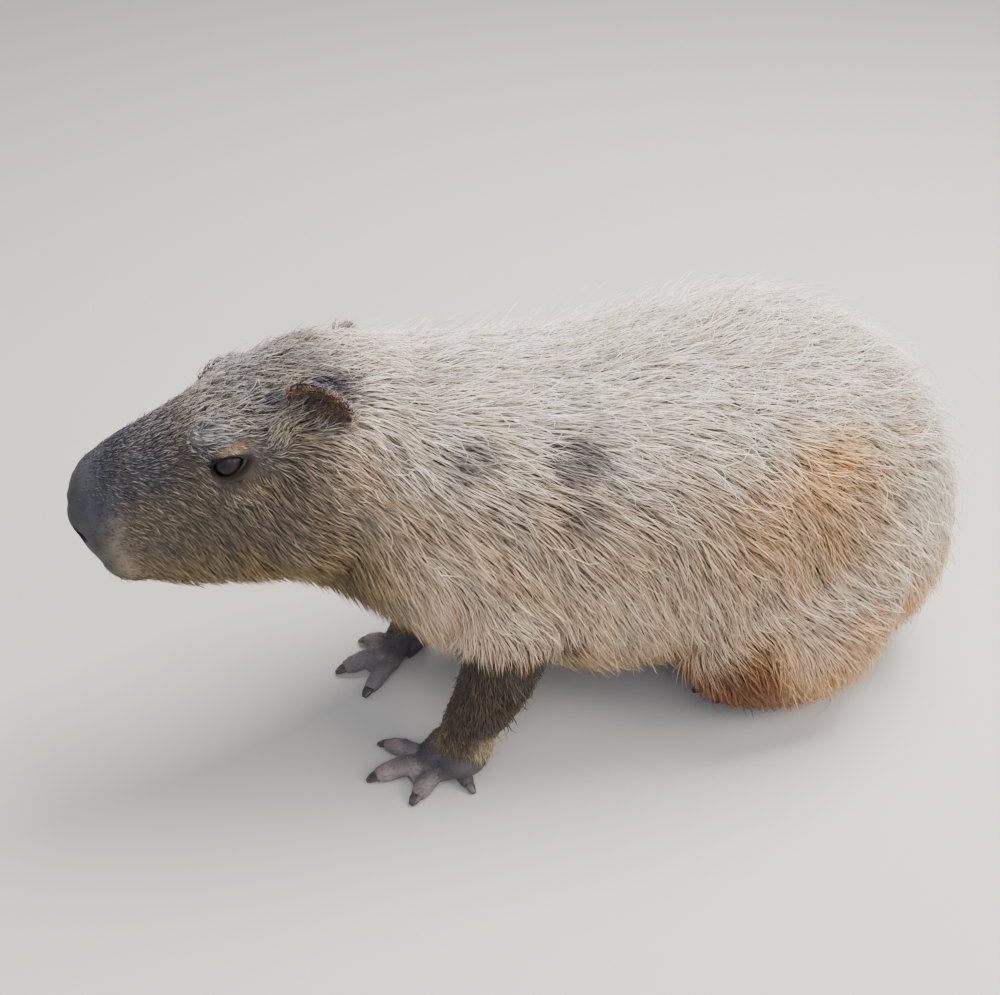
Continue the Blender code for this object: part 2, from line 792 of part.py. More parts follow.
def coat_locks(tree):
    """Locks for each node, in staggered rows from the neck to the rump."""
    draw = random.Random(SEED)
    locks = {}
    stations = np.array(list(TRUNK.values()))
    rows = round((ROWS_TO - ROWS_FROM) / LOCK_SPACING)
    for row in range(rows + 1):
        y = ROWS_FROM + (ROWS_TO - ROWS_FROM) * row / rows
        top, level, bottom, half = [np.interp(y, stations[:, 0], stations[:, k]) for k in (2, 3, 4, 5)]
        girth = math.pi * ((top - bottom) / 2 + half)
        columns = max(5, round(girth / LOCK_SPACING))
        middle = Vector((0, y, (top + bottom) / 2))
        for column in range(columns):
            angle = 2 * math.pi * (column + 0.5 * (row % 2)) / columns + draw.uniform(-0.06, 0.06)
            out = Vector((math.cos(angle), draw.uniform(-0.06, 0.06), math.sin(angle)))
            place = tree.ray_cast(middle, out.normalized())[0]
            home = owner(place, 0.004) if place else None
            if home in (None, "head") or home.startswith("foreleg"):
                continue
            made = lock(tree, place, home, draw)
            if made:
                locks.setdefault(home, []).append(made)
    return locks


def with_locks(body, locks, name):
    made = copied(body, name)
    if locks.get(name):
        boolean(made, locks[name], "UNION")
    return made


def nostril(side):
    side_axis, back_axis, up_axis = head_axes()
    across, back, up = NOSTRIL_PLACE
    frame = Matrix((side_axis, back_axis, up_axis)).transposed()
    lean = Matrix.Rotation(side * math.radians(-28), 3, "Y") @ Matrix.Rotation(math.radians(20), 3, "X")
    return ball("nostril", on_head(side * across, back, up), NOSTRIL_SIZE, frame @ lean, (12, 8))


def head(body, name):
    place, normal = cut_plane(HEAD_CUT)
    made = cut(copied(body, name), keep=[half_space(place, -normal)])
    thinned(made, HEAD_TRIANGLES)
    cut(made, keep=[half_space(place, -normal)])
    boolean(made, [lids(side) for side in SIDES.values()], "UNION")
    holes = [nostril(side) for side in SIDES.values()]
    holes += [eye("socket", side, GAP) for side in SIDES.values()]
    holes.append(mouth_strip("mouth", MOUTH_LEVEL, MOUTH_DEPTH, MOUTH_DEPTH, MOUTH_OPENING))
    return cut(made, drop=holes)


def neck(body):
    front, front_normal = cut_plane(HEAD_CUT)
    rear, rear_normal = cut_plane(NECK_CUT)
    sides = [half_space(front + front_normal * GAP, front_normal), half_space(rear, -rear_normal)]
    legs = [zone_ball(FORELEG_ZONE, side, GAP) for side in SIDES.values()]
    return cut(body, keep=sides, drop=legs)


def torso(body):
    place, normal = cut_plane(NECK_CUT)
    legs = [zone_ball(zone, side, GAP) for zone in (FORELEG_ZONE, HINDLEG_ZONE) for side in SIDES.values()]
    return cut(body, keep=[half_space(place + normal * GAP, normal)], drop=[*legs, tail("tail pocket", GAP)])


def tail(name, extra=0.0):
    """The stub of a tail, which is sunk half way into the rump."""
    return ball(name, TAIL_PLACE, [size + extra for size in TAIL_SIZE], detail=(14, 9))


def build():
    clear_scene()
    coat = material("coat", (0.42, 0.33, 0.22), 0.85)
    bare = material("bare skin", (0.10, 0.085, 0.075), 0.7)
    nail = material("claw", (0.06, 0.05, 0.045), 0.45)
    wet = material("eye", (0.03, 0.025, 0.022), 0.12)

    fine = flesh()
    in_coat(fine, CORE_SHARE)
    body = thinned(copied(fine, "body"), BODY_TRIANGLES)
    locks = coat_locks(BVHTree.FromObject(fine, bpy.context.evaluated_depsgraph_get()))

    finish(head(fine, "head"), "head", coat)
    finish(neck(with_locks(body, locks, "neck")), "neck", coat)
    finish(torso(with_locks(body, locks, "torso")), "torso", coat)
    finish(tail("tail"), "tail", coat)
    for word, side in SIDES.items():
        hind_foot = foot("foot", HINDFOOT, HIND_TOES, side)
        (x, y, z), radii = FOREFOOT_BACK
        wrist = limb("wrist", list(FORELEG.values())[-3:], side)
        back = ball("back of the foot", (side * x, y, z), radii)
        fore_foot = foot("foot", FOREFOOT, FORE_TOES, side, [wrist, back])
        cut(fore_foot, keep=[half_space((0, 0, WRIST_LEVEL), (0, 0, -1))])
        above = half_space((0, 0, WRIST_LEVEL + GAP), (0, 0, 1))
        foreleg = cut(copied(body, "leg"), keep=[zone_ball(FORELEG_ZONE, side, 0), above])
        hindleg = with_locks(body, locks, f"hindleg_{word}")
        floor = half_space((0, 0, 0), (0, 0, 1))
        cut(hindleg, keep=[zone_ball(HINDLEG_ZONE, side, 0), floor], drop=[grown(hind_foot, FOOT_GAP)])
        finish(foreleg, f"foreleg_{word}", coat)
        finish(hindleg, f"hindleg_{word}", coat)
        for made, toes, place in ((fore_foot, FORE_TOES, "fore"), (hind_foot, HIND_TOES, "hind")):
            cut(made, drop=[claw("claw", *place, side, GAP) for place in toes.values()])
            finish(made, f"{place}_foot_{word}", bare)
            for finger, place_of_toe in toes.items():
                name = f"{place}_claw_{finger}_{word}"
                finish(claw(name, *place_of_toe, side), name, nail)
        finish(eye(f"eye_{word}", side), f"eye_{word}", wet)
        finish(cut(ear(f"ear_{word}", side, EAR_LEANS[word]), drop=[grown(fine, GAP)]), f"ear_{word}", bare)
    bpy.data.objects.remove(fine)
    bpy.data.objects.remove(body)
    centre_model()


def centre_model():
    """Moves everything so that the middle of the model's box is over the origin."""
    shapes = [thing for thing in bpy.data.objects if thing.type == "MESH"]
    points = np.array([v.co for thing in shapes for v in thing.data.vertices])
    middle = (points.min(axis=0) + points.max(axis=0)) / 2
    for thing in shapes:
        thing.location = (-middle[0], -middle[1], 0.0)
    bpy.context.view_layer.update()


build()
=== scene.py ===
import math

import bmesh
import bpy
import numpy as np
from mathutils import Matrix, Vector
from mathutils.bvhtree import BVHTree
from mathutils.kdtree import KDTree


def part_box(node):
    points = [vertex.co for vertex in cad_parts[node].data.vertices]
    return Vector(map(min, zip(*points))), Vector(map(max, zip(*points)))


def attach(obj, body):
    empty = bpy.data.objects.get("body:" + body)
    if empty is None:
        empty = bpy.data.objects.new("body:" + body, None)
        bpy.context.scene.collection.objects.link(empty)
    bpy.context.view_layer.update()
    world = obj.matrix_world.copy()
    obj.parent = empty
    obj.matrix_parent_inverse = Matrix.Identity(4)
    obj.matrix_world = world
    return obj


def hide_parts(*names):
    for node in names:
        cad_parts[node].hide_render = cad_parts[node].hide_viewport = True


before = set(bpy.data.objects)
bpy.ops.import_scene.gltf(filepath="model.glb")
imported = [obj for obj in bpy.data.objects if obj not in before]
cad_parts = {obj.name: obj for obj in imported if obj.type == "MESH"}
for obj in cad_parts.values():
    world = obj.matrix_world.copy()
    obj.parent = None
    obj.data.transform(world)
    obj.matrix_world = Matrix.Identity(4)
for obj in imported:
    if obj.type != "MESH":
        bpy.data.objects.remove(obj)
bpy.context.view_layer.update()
print("capybara: frame loaded")

# Build of the animal, in metres: y runs back from the line of the front feet, +X is its left side
sides = {"left": 1, "right": -1}


def fromHex(text):  # sRGB hex to linear
    values = [int(text[i : i + 2], 16) / 255 for i in (1, 3, 5)]
    return tuple(v / 12.92 if v <= 0.04045 else ((v + 0.055) / 1.055) ** 2.4 for v in values)


def ease(low, high, value):
    share = np.clip((value - low) / (high - low), 0, 1)
    return share * share * (3 - 2 * share)


def fade(low, high, value):  # from 1 at low down to 0 at high
    return 1 - ease(low, high, value)


def unit(vectors):
    return vectors / np.maximum(np.linalg.norm(vectors, axis=-1, keepdims=True), 1e-12)


def waves(points, size, seed):  # smooth noise of about -1 to 1, its features about that size
    draw = np.random.default_rng(seed)
    ways = unit(draw.normal(size=(8, 3))) * draw.uniform(0.6, 1.5, (8, 1))
    return np.sin(points @ ways.T * (2 * math.pi / size) + draw.uniform(0, 6.28, 8)).sum(1) / 4


headPose = {
    "noseTip": (-0.036, -0.268, 0.322),
    "turn": math.radians(10),
    "drop": math.radians(14),
    "roll": math.radians(-3),
}


def headAxes():
    level = math.cos(headPose["drop"])
    turn = headPose["turn"]
    back = Vector((math.sin(turn) * level, math.cos(turn) * level, math.sin(headPose["drop"])))
    across = Matrix.Rotation(headPose["roll"], 3, back) @ Vector((math.cos(turn), -math.sin(turn), 0))
    return across, back, across.cross(back)


def onHead(across, back, up):
    acrossAxis, backAxis, upAxis = headAxes()
    return Vector(headPose["noseTip"]) + acrossAxis * across + backAxis * back + upAxis * up


def inHead(points):  # across, back and up of each point in the head's frame
    return (points - np.array(headPose["noseTip"])) @ np.array(headAxes()).T


eyeShape = {"place": (0.0565, 0.154, 0.010), "radius": 0.0138}

# The model's box is centred in the frame, so one known point gives the move from the animal's own place
eyeLow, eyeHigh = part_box("eye_left")
modelShift = (eyeLow + eyeHigh) / 2 - onHead(*eyeShape["place"])


# Shapes are lists of points and faces, which are melted or joined into meshes
def smoothStations(stations, steps):
    rows = np.array(list(stations), float)
    ends = np.vstack([2 * rows[0] - rows[1], rows, 2 * rows[-1] - rows[-2]])
    out = []
    for i in range(len(rows) - 1):
        before, start, stop, after = ends[i : i + 4]
        for t in np.arange(steps) / steps:
            curve = (2 * before - 5 * start + 4 * stop - after) * t**2
            twist = (3 * start - before - 3 * stop + after) * t**3
            out.append(start + ((stop - before) * t + curve + twist) / 2)
    return out + [rows[-1]]


def roundedSection(half, top, level, bottom, square, count):
    angles = np.linspace(0, 2 * math.pi, count, endpoint=False)
    cosine, sine = np.cos(angles), np.sin(angles)
    reach = np.where(sine > 0, top - level, level - bottom)
    across = half * np.sign(cosine) * np.abs(cosine) ** (2 / square)
    return np.stack([across, level + reach * np.sign(sine) * np.abs(sine) ** (2 / square)], -1)


def loftShape(rings, ring=False):  # ring=True joins the last section to the first
    count = len(rings[0])
    points = [tuple(p) for section in rings for p in section]
    faces = []
    for i in range(len(rings) if ring else len(rings) - 1):
        low, high = i * count, (i + 1) % len(rings) * count
        for j in range(count):
            k = (j + 1) % count
            faces.append((low + j, low + k, high + k, high + j))
    if not ring:
        faces += [tuple(range(count)), tuple(range(len(points) - count, len(points)))]
    return points, faces


def ballShape(place, radii, turn=None, columns=40, rows=24):
    axes = np.array(turn if turn else Matrix.Identity(3))
    rings = []
    for i in range(1, rows):
        polar = math.pi * i / rows
        angles = np.linspace(0, 2 * math.pi, columns, endpoint=False)
        wide, high = math.sin(polar), math.cos(polar)
        unitRing = np.stack([np.cos(angles) * wide, np.sin(angles) * wide, angles * 0 + high], -1)
        rings.append((unitRing * np.array(radii)) @ axes.T + np.array(place))
    return loftShape(rings)


def tubeShape(points, radii, count=20, flatten=1.0):
    points = [Vector(p) for p in points]
    rings = []
    for i, (place, radius) in enumerate(zip(points, radii)):
        ahead = points[min(i + 1, len(points) - 1)] - points[max(i - 1, 0)]
        across = ahead.cross(Vector((0, 0, 1))).normalized()
        up = across.cross(ahead).normalized()
        angles = np.linspace(0, 2 * math.pi, count, endpoint=False)
        high = radius * flatten
        rings.append([place + across * (radius * math.cos(t)) + up * (high * math.sin(t)) for t in angles])
    return loftShape(rings)


def shapeObject(name, shapes):
    points, faces = [], []
    for somePoints, someFaces in shapes:
        faces += [tuple(i + len(points) for i in face) for face in someFaces]
        points += [tuple(p) for p in somePoints]
    mesh = bpy.data.meshes.new(name)
    mesh.from_pydata(points, [], faces)
    builder = bmesh.new()
    builder.from_mesh(mesh)
    bmesh.ops.recalc_face_normals(builder, faces=builder.faces)
    builder.to_mesh(mesh)
    builder.free()
    made = bpy.data.objects.new(name, mesh)
    bpy.context.scene.collection.objects.link(made)
    return made


def applyModifiers(thing):
    bpy.context.view_layer.update()
    mesh = bpy.data.meshes.new_from_object(thing.evaluated_get(bpy.context.evaluated_depsgraph_get()))
    old = thing.data
    thing.modifiers.clear()
    thing.data = mesh
    bpy.data.meshes.remove(old)
    return thing


def melted(name, shapes, voxel, rounds, kept=1.0):  # one smooth skin round all the shapes
    made = shapeObject(name, shapes)
    remesh = made.modifiers.new("melt", "REMESH")
    remesh.mode = "VOXEL"
    remesh.voxel_size = voxel
    relax = made.modifiers.new("relax", "SMOOTH")
    relax.factor = 0.5
    relax.iterations = rounds
    if kept < 1:
        thin = made.modifiers.new("thin", "DECIMATE")
        thin.ratio = kept
    return applyModifiers(made)


def combined(thing, others, operation):
    group = bpy.data.collections.new("pieces")
    bpy.context.scene.collection.children.link(group)
    for other in others:
        group.objects.link(other)
    change = thing.modifiers.new("change", "BOOLEAN")
    change.operation = operation
    change.solver = "MANIFOLD"
    change.operand_type = "COLLECTION"
    change.collection = group
    applyModifiers(thing)
    bpy.data.collections.remove(group)
    for other in others:
        bpy.data.objects.remove(other)
    return thing


def vertexArrays(mesh):
    points = np.empty(len(mesh.vertices) * 3, np.float32)
    mesh.vertices.foreach_get("co", points)
    normals = np.empty(len(mesh.vertices) * 3, np.float32)
    mesh.vertices.foreach_get("normal", normals)
    return points.reshape(-1, 3).astype(float), normals.reshape(-1, 3).astype(float)


# Flesh
trunk = {  # y, middle x, top, widest level, bottom, half width
    "throat": (-0.115, -0.014, 0.395, 0.315, 0.232, 0.060),
    "nape": (-0.060, -0.009, 0.410, 0.308, 0.214, 0.078),
    "neck": (0.000, -0.003, 0.412, 0.285, 0.170, 0.096),
    "shoulder": (0.070, 0.000, 0.406, 0.250, 0.118, 0.112),
    "chest": (0.160, 0.000, 0.396, 0.232, 0.090, 0.122),
    "belly": (0.250, 0.000, 0.398, 0.222, 0.082, 0.132),
    "loin": (0.335, 0.000, 0.400, 0.208, 0.060, 0.136),
    "hip": (0.415, 0.000, 0.374, 0.192, 0.034, 0.126),
    "croup": (0.480, 0.000, 0.324, 0.178, 0.030, 0.106),
    "rump": (0.525, 0.000, 0.262, 0.165, 0.055, 0.076),
    "rear": (0.552, 0.000, 0.200, 0.158, 0.115, 0.030),
}


def trunkShape():
    rings = []
    for y, middle, top, level, bottom, half in smoothStations(trunk.values(), 4):
        section = roundedSection(half, top, level, bottom, 2.15, 60)
        rings.append([(middle + across, y, up) for across, up in section])
    return loftShape(rings)


skull = {  # back from the nose, top, widest level, bottom, half width, squareness
    "nose": (0.000, -0.014, -0.032, -0.052, 0.022, 2.3),
    "nostrils": (0.008, 0.003, -0.032, -0.074, 0.036, 2.6),
    "lips": (0.030, 0.015, -0.036, -0.094, 0.045, 2.8),
    "muzzle": (0.065, 0.025, -0.044, -0.112, 0.050, 2.8),
    "bridge": (0.105, 0.035, -0.044, -0.118, 0.056, 2.6),
    "brow": (0.145, 0.045, -0.040, -0.124, 0.066, 2.5),
    "cheek": (0.185, 0.052, -0.040, -0.128, 0.073, 2.4),
    "ear": (0.225, 0.054, -0.040, -0.128, 0.074, 2.3),
    "occiput": (0.262, 0.044, -0.036, -0.108, 0.062, 2.2),
    "nape": (0.300, 0.026, -0.040, -0.088, 0.046, 2.2),
}


def skullShape():
    rings = []
    for back, top, level, bottom, half, square in smoothStations(skull.values(), 5):
        section = roundedSection(half, top, level, bottom, square, 60)
        rings.append([onHead(across, back, up) for across, up in section])
    return loftShape(rings)


limbs = {  # x, y, z, half size across, half size along
    "fore": {
        "shoulder": (0.058, 0.088, 0.280, 0.040, 0.070),
        "upper arm": (0.080, 0.088, 0.210, 0.042, 0.052),
        "elbow": (0.091, 0.076, 0.145, 0.035, 0.038),
        "forearm": (0.090, 0.056, 0.092, 0.029, 0.029),
        "wrist": (0.088, 0.038, 0.050, 0.025, 0.025),
        "heel": (0.090, 0.032, 0.018, 0.022, 0.024),
    },
    "hind": {
        "hip": (0.085, 0.375, 0.230, 0.045, 0.095),
        "thigh": (0.102, 0.358, 0.160, 0.050, 0.105),
        "knee": (0.104, 0.350, 0.095, 0.048, 0.092),
        "shank": (0.090, 0.365, 0.045, 0.042, 0.080),
        "hock": (0.078, 0.385, 0.014, 0.030, 0.060),
    },
}


def limbShape(stations, side):
    rings = []
    for x, y, z, wide, deep in smoothStations(stations, 4):
        angles = np.linspace(0, 2 * math.pi, 32, endpoint=False)
        rings.append([(side * (x + wide * math.cos(t)), y + deep * math.sin(t), z) for t in angles])
    return loftShape(rings)


def between(start, stop, share):
    return [a + (b - a) * share for a, b in zip(start, stop)]


toeShape = {"radius": 0.0096, "height": 0.0085, "webReach": 0.6}


def toeTube(root, tip, thick, side):  # the knuckle rises, then the toe slopes down to the floor
    shares = (0.0, 0.3, 0.55, 0.8, 0.98)
    heights = (1.15, 1.35, 1.3, 0.95, 0.75)
    widths = (1.0, 0.95, 0.98, 0.9, 0.66)
    points = []
    for share, height in zip(shares, heights):
        x, y = between(root, tip, share)
        points.append((side * x, y, toeShape["height"] * height * thick))
    return tubeShape(points, [toeShape["radius"] * thick * w for w in widths], flatten=0.9)


def webTube(first, second, side):
    reach = toeShape["webReach"]
    root = between(first[0], second[0], 0.5)
    firstEnd, secondEnd = between(first[0], first[1], reach), between(second[0], second[1], reach)
    end = between(firstEnd, secondEnd, 0.5)
    points = [(side * root[0], root[1], 0.010), (side * end[0], end[1], 0.0065)]
    radii = [math.dist(first[0], second[0]) * 0.5 + 0.004, math.dist(firstEnd, secondEnd) * 0.5]
    return tubeShape(points, radii, flatten=0.28)


def handTube(wrist, root, thick, side):  # the long bone that runs from the wrist to a toe
    x, y = root
    middle = ((wrist[0] + x) / 2, (wrist[1] + y) / 2, wrist[2] * 0.5 + 0.012)
    points = [(side * px, py, pz) for px, py, pz in (wrist, middle, (x, y, 0.0115))]
    return tubeShape(points, (0.0165, 0.0125, 0.0104 * thick), flatten=0.95)


feet = {
    "fore": {
        "sole": ((0.089, 0.037, 0.058, 0.022), (0.091, 0.035, 0.022, 0.021), (0.083, 0.012, 0.013, 0.020)),
        "wrist": (0.086, 0.030, 0.047),
        "webs": 2,
        "toes": {  # root, tip, thickness
            "inner": ((0.067, 0.002), (0.038, -0.030), 0.95),
            "middle": ((0.077, -0.002), (0.075, -0.048), 1.08),
            "outer": ((0.088, 0.012), (0.110, -0.017), 1.0),
            "small": ((0.095, 0.030), (0.111, 0.034), 0.78),
        },
    },
    "hind": {
        "sole": (
            (0.070, 0.447, 0.018, 0.008),
            (0.070, 0.436, 0.020, 0.018),
            (0.069, 0.412, 0.015, 0.024),
            (0.066, 0.375, 0.013, 0.026),
            (0.064, 0.345, 0.012, 0.027),
        ),
        "wrist": None,
        "webs": 2,
        "toes": {
            "inner": ((0.052, 0.352), (0.037, 0.306), 0.95),
            "middle": ((0.063, 0.348), (0.058, 0.294), 1.1),
            "outer": ((0.074, 0.352), (0.077, 0.308), 0.95),
        },
    },
}


def footShapes(foot, leg, side):
    middles = [(side * row[0], row[1], row[2]) for row in foot["sole"]]
    shapes = [tubeShape(middles, [row[3] for row in foot["sole"]], flatten=0.62)]
    toes = list(foot["toes"].values())
    if foot["wrist"]:
        shapes.append(limbShape(list(leg.values())[-3:], side))
        shapes += [handTube(foot["wrist"], root, thick, side) for root, _, thick in toes[:3]]
    shapes += [toeTube(*toe, side) for toe in toes]
    pairs = list(zip(toes, toes[1:]))[: foot["webs"]]
    shapes += [webTube(first, second, side) for first, second in pairs]
    return shapes


clawShape = {
    "length": 0.014,
    "width": 0.0118,
    "depth": 0.008,
    "gap": 0.0003,  # left free round the claw's root in the skin
    "knots": ((-0.55, 0.0078, 0.80), (-0.1, 0.0074, 1.0), (0.3, 0.0052, 0.86), (0.62, 0.0026, 0.42)),
}  # a knot is a share of the length, a height and a share of the width


def clawTube(root, tip, thick, side, extra=0.0, count=20):
    ahead = Vector((side * (tip[0] - root[0]), tip[1] - root[1], 0)).normalized()
    end = Vector((side * tip[0], tip[1], 0))
    rows = smoothStations(clawShape["knots"], 4 if not extra else 1)
    points = [end + ahead * (clawShape["length"] * row[0]) + Vector((0, 0, row[1])) for row in rows]
    points[0] -= ahead * extra
    points[-1] += ahead * extra
    radii = [clawShape["width"] / 2 * row[2] * thick + extra for row in rows]
    return tubeShape(points, radii, count, clawShape["depth"] / clawShape["width"] * 0.62)


def eyeAxes(side):  # out of the eye, along its slit and up across it
    acrossAxis, backAxis, upAxis = headAxes()
    out = (acrossAxis * side * 0.93 - backAxis * 0.22 + upAxis * 0.30).normalized()
    along = (backAxis - out * backAxis.dot(out)).normalized()
    up = along.cross(out).normalized()
    return out, along, up if up.dot(upAxis) > 0 else -up


lidShape = {"halfLength": 0.0138, "up": 0.0062, "down": 0.0082, "wall": 0.0026, "fold": 0.0016}
lidShape["gap"] = 0.0003  # between the eyeball and its socket


def slitPoints(side, grow, count=40):  # round the almond slit between the lids, flatter above
    along, up = eyeAxes(side)[1:]
    points = []
    for angle in np.linspace(0, 2 * math.pi, count, endpoint=False):
        high = lidShape["up"] if math.sin(angle) > 0 else lidShape["down"]
        across = lidShape["halfLength"] * math.cos(angle)
        rise = high * math.copysign(abs(math.sin(angle)) ** 1.25, math.sin(angle)) + 0.10 * across
        reach = along * across + up * rise
        points.append(reach + reach.normalized() * grow)
    return points


def eyeMiddle(side):
    across, back, up = eyeShape["place"]
    return onHead(side * across, back, up)


def slitCutter(side):
    middle = eyeMiddle(side)
    out = eyeAxes(side)[0]
    rings = []
    for depth, grow in ((0.003, -0.0006), (0.011, -0.0002), (0.0145, 0.0004), (0.020, 0.0022)):
        rings.append([middle + out * depth + reach for reach in slitPoints(side, grow)])
    return loftShape(rings)


def lidFold(side):  # the rim of the lids, a rounded edge that lies on the eyeball
    middle = eyeMiddle(side)
    out = eyeAxes(side)[0]
    rings = []
    for reach in slitPoints(side, 0.0010, 48):
        level = math.sqrt(max(1e-6, (eyeShape["radius"] + 0.0012) ** 2 - reach.length**2))
        place = middle + reach + out * level
        radial = reach.normalized()
        turn = np.linspace(0, 2 * math.pi, 10, endpoint=False)
        thick = lidShape["fold"]
        rings.append([place + radial * (thick * math.cos(t)) + out * (thick * math.sin(t)) for t in turn])
    return loftShape(rings, ring=True)


earShape = {
    "place": (0.057, 0.223, 0.032),
    "length": 0.044,
    "width": 0.053,
    "cup": 0.015,
    "wall": 0.0030,
    "leans": {"left": (0.24, 0.76, 0.50), "right": (0.30, 0.90, -0.15)},  # outwards, back, up
    "faces": {"left": (0.92, -0.10, -0.10), "right": (0.50, 0.00, 0.85)},
}


def earAxes(word):  # towards the ear's tip, and out of its opening
    acrossAxis, backAxis, upAxis = headAxes()
    stand, face = (
        acrossAxis * sides[word] * out + backAxis * back + upAxis * up
        for out, back, up in (earShape["leans"][word], earShape["faces"][word])
    )
    stand.normalize()
    return stand, (face - stand * face.dot(stand)).normalized()


def earShell(word):
    side = sides[word]
    stand, face = earAxes(word)
    across = stand.cross(face).normalized()
    length, cup = earShape["length"], earShape["cup"]
    place = earShape["place"]
    root = onHead(side * place[0], place[1], place[2]) - stand * (length * 0.16)
    rows, columns = 22, 31
    front, rear = [], []
    for i in range(rows):
        share = i / (rows - 1)
        width = earShape["width"] / 2 * math.sqrt(max(0.0, 1 - ((share - 0.50) / 0.52) ** 2) + 0.02)
        wall = earShape["wall"] * (1.6 - share)
        for j in range(columns):
            turn = (j / (columns - 1) - 0.5) * 2
            depth = cup * (1 - turn**2) * math.sin(math.pi * min(1.0, share * 0.9 + 0.15))
            fold = 0.0016 * math.sin(9 * turn + 3 * share) * (1 - turn**2) * (1 - share)
            curl = cup * 0.5 * share**2
            spot = root + stand * (length * share) + across * (width * turn)
            front.append(spot - face * (depth - curl - fold))
            rear.append(spot - face * (depth - curl + wall * (1 - 0.55 * turn**2)))
    size = rows * columns
    faces = []
    for i in range(rows - 1):
        for j in range(columns - 1):
            a = i * columns + j
            faces.append((a, a + 1, a + columns + 1, a + columns))
            faces.append((size + a, size + a + columns, size + a + columns + 1, size + a + 1))
    edge = list(range(columns)) + [i * columns + columns - 1 for i in range(1, rows)]
    edge += [(rows - 1) * columns + j for j in range(columns - 2, -1, -1)]
    edge += [i * columns for i in range(rows - 2, 0, -1)]
    for a, b in zip(edge, edge[1:] + edge[:1]):
        faces.append((a, size + a, size + b, b))
    return front + rear, faces


noseShape = {"place": (0.0330, 0.0030, -0.0295), "size": (0.0050, 0.0085, 0.0130)}


def nostrilShape(side):
    across, back, up = noseShape["place"]
    turn = Matrix(headAxes()).transposed()
    lean = Matrix.Rotation(side * math.radians(-28), 3, "Y") @ Matrix.Rotation(math.radians(20), 3, "X")
    return ballShape(onHead(side * across, back, up), noseShape["size"], turn @ lean, 24, 14)


mouthShape = {
    "level": -0.080,
    "length": 0.062,
    "opening": 0.0018,
    "depth": 0.007,
    "start": 0.006,  # how far back the lips' front is
    "drop": 0.016,  # of the corners below the front
}


def mouthWedge():  # follows the mouth round the front of the muzzle, from corner to corner
    stations = np.array(smoothStations(skull.values(), 12))
    path = []
    for share in np.linspace(-1, 1, 41):
        back = mouthShape["length"] * abs(share) ** 1.6 + mouthShape["start"]
        row = [np.interp(back, stations[:, 0], stations[:, k]) for k in range(6)]
        wide, bottom, half, square = row[2:]
        reach = min(0.98, (wide - mouthShape["level"]) / (wide - bottom))
        width = half * (1 - reach**square) ** (1 / square)
        across = math.copysign(min(1.0, abs(share) * 3.2), share) * width
        path.append((across, back, mouthShape["level"] - mouthShape["drop"] * share**2))
    rings = []
    for i, (across, back, up) in enumerate(path):
        ahead, behind = path[min(i + 1, len(path) - 1)], path[max(i - 1, 0)]
        run = Vector((ahead[0] - behind[0], ahead[1] - behind[1])).normalized()
        normal = Vector((run.y, -run.x))
        if normal.y > 0 and abs(across) < 0.01:
            normal = -normal
        high = mouthShape["opening"] * (1 - 0.75 * abs(i / (len(path) - 1) * 2 - 1))
        depth = mouthShape["depth"]
        corners = ((depth, 1), (depth, -1), (-depth, -0.3), (-depth, 0.3))
        rings.append(
            [onHead(across + normal.x * r, back + normal.y * r, up + rise * high) for r, rise in corners]
        )
    return loftShape(rings)


faceForms = {  # across, back and up in the head's frame, then the half sizes
    "nose wing": ((0.020, 0.012, -0.024), (0.018, 0.013, 0.020)),
    "upper lip": ((0.023, 0.037, -0.068), (0.023, 0.029, 0.025)),
    "brow": ((0.046, 0.152, 0.031), (0.014, 0.026, 0.011)),
    "cheekbone": ((0.056, 0.160, -0.020), (0.016, 0.030, 0.014)),
    "jaw": ((0.046, 0.195, -0.068), (0.032, 0.046, 0.044)),
}
tailShape = {"place": (0.0, 0.564, 0.148), "size": (0.010, 0.016, 0.011)}
skinMesh = {"voxel": 0.0025, "footVoxel": 0.0014, "smoothing": 5, "footSmoothing": 6, "kept": 0.6}


def makeSkin():
    faceTurn = Matrix(headAxes()).transposed()
    shapes = [trunkShape(), skullShape(), ballShape(tailShape["place"], tailShape["size"])]
    for side in sides.values():
        for (across, back, up), radii in faceForms.values():
            shapes.append(ballShape(onHead(side * across, back, up), radii, faceTurn))
        shapes.append(ballShape(eyeMiddle(side), (eyeShape["radius"] + lidShape["wall"],) * 3))
        for leg in limbs.values():
            shapes.append(limbShape(leg.values(), side))
    made = melted("skin", shapes, skinMesh["voxel"], skinMesh["smoothing"], skinMesh["kept"])
    parts = []
    for word, side in sides.items():
        for kind, foot in feet.items():
            shapes = footShapes(foot, limbs[kind], side)
            parts.append(melted("foot", shapes, skinMesh["footVoxel"], skinMesh["footSmoothing"]))
        parts.append(shapeObject("ear", [earShell(word)]))
    combined(made, parts, "UNION")
    holes = [shapeObject("mouth", [mouthWedge()])]
    for side in sides.values():
        holes.append(shapeObject("nostril", [nostrilShape(side)]))
        socket = ballShape(eyeMiddle(side), (eyeShape["radius"] + lidShape["gap"],) * 3)
        holes.append(shapeObject("socket", [socket]))
        holes.append(shapeObject("slit", [slitCutter(side)]))
        for foot in feet.values():
            for toe in foot["toes"].values():
                holes.append(shapeObject("pocket", [clawTube(*toe, side, clawShape["gap"])]))
    floorBlock = [(x, y, z) for x in (-1, 1) for y in (-1, 1) for z in (-1, 0)]
    blockFaces = [(0, 1, 3, 2), (4, 5, 7, 6), (0, 1, 5, 4), (2, 3, 7, 6), (0, 2, 6, 4), (1, 3, 7, 5)]
    holes.append(shapeObject("under the floor", [(floorBlock, blockFaces)]))
    combined(made, holes, "DIFFERENCE")
    return combined(made, [shapeObject("lids", [lidFold(side)]) for side in sides.values()], "UNION")


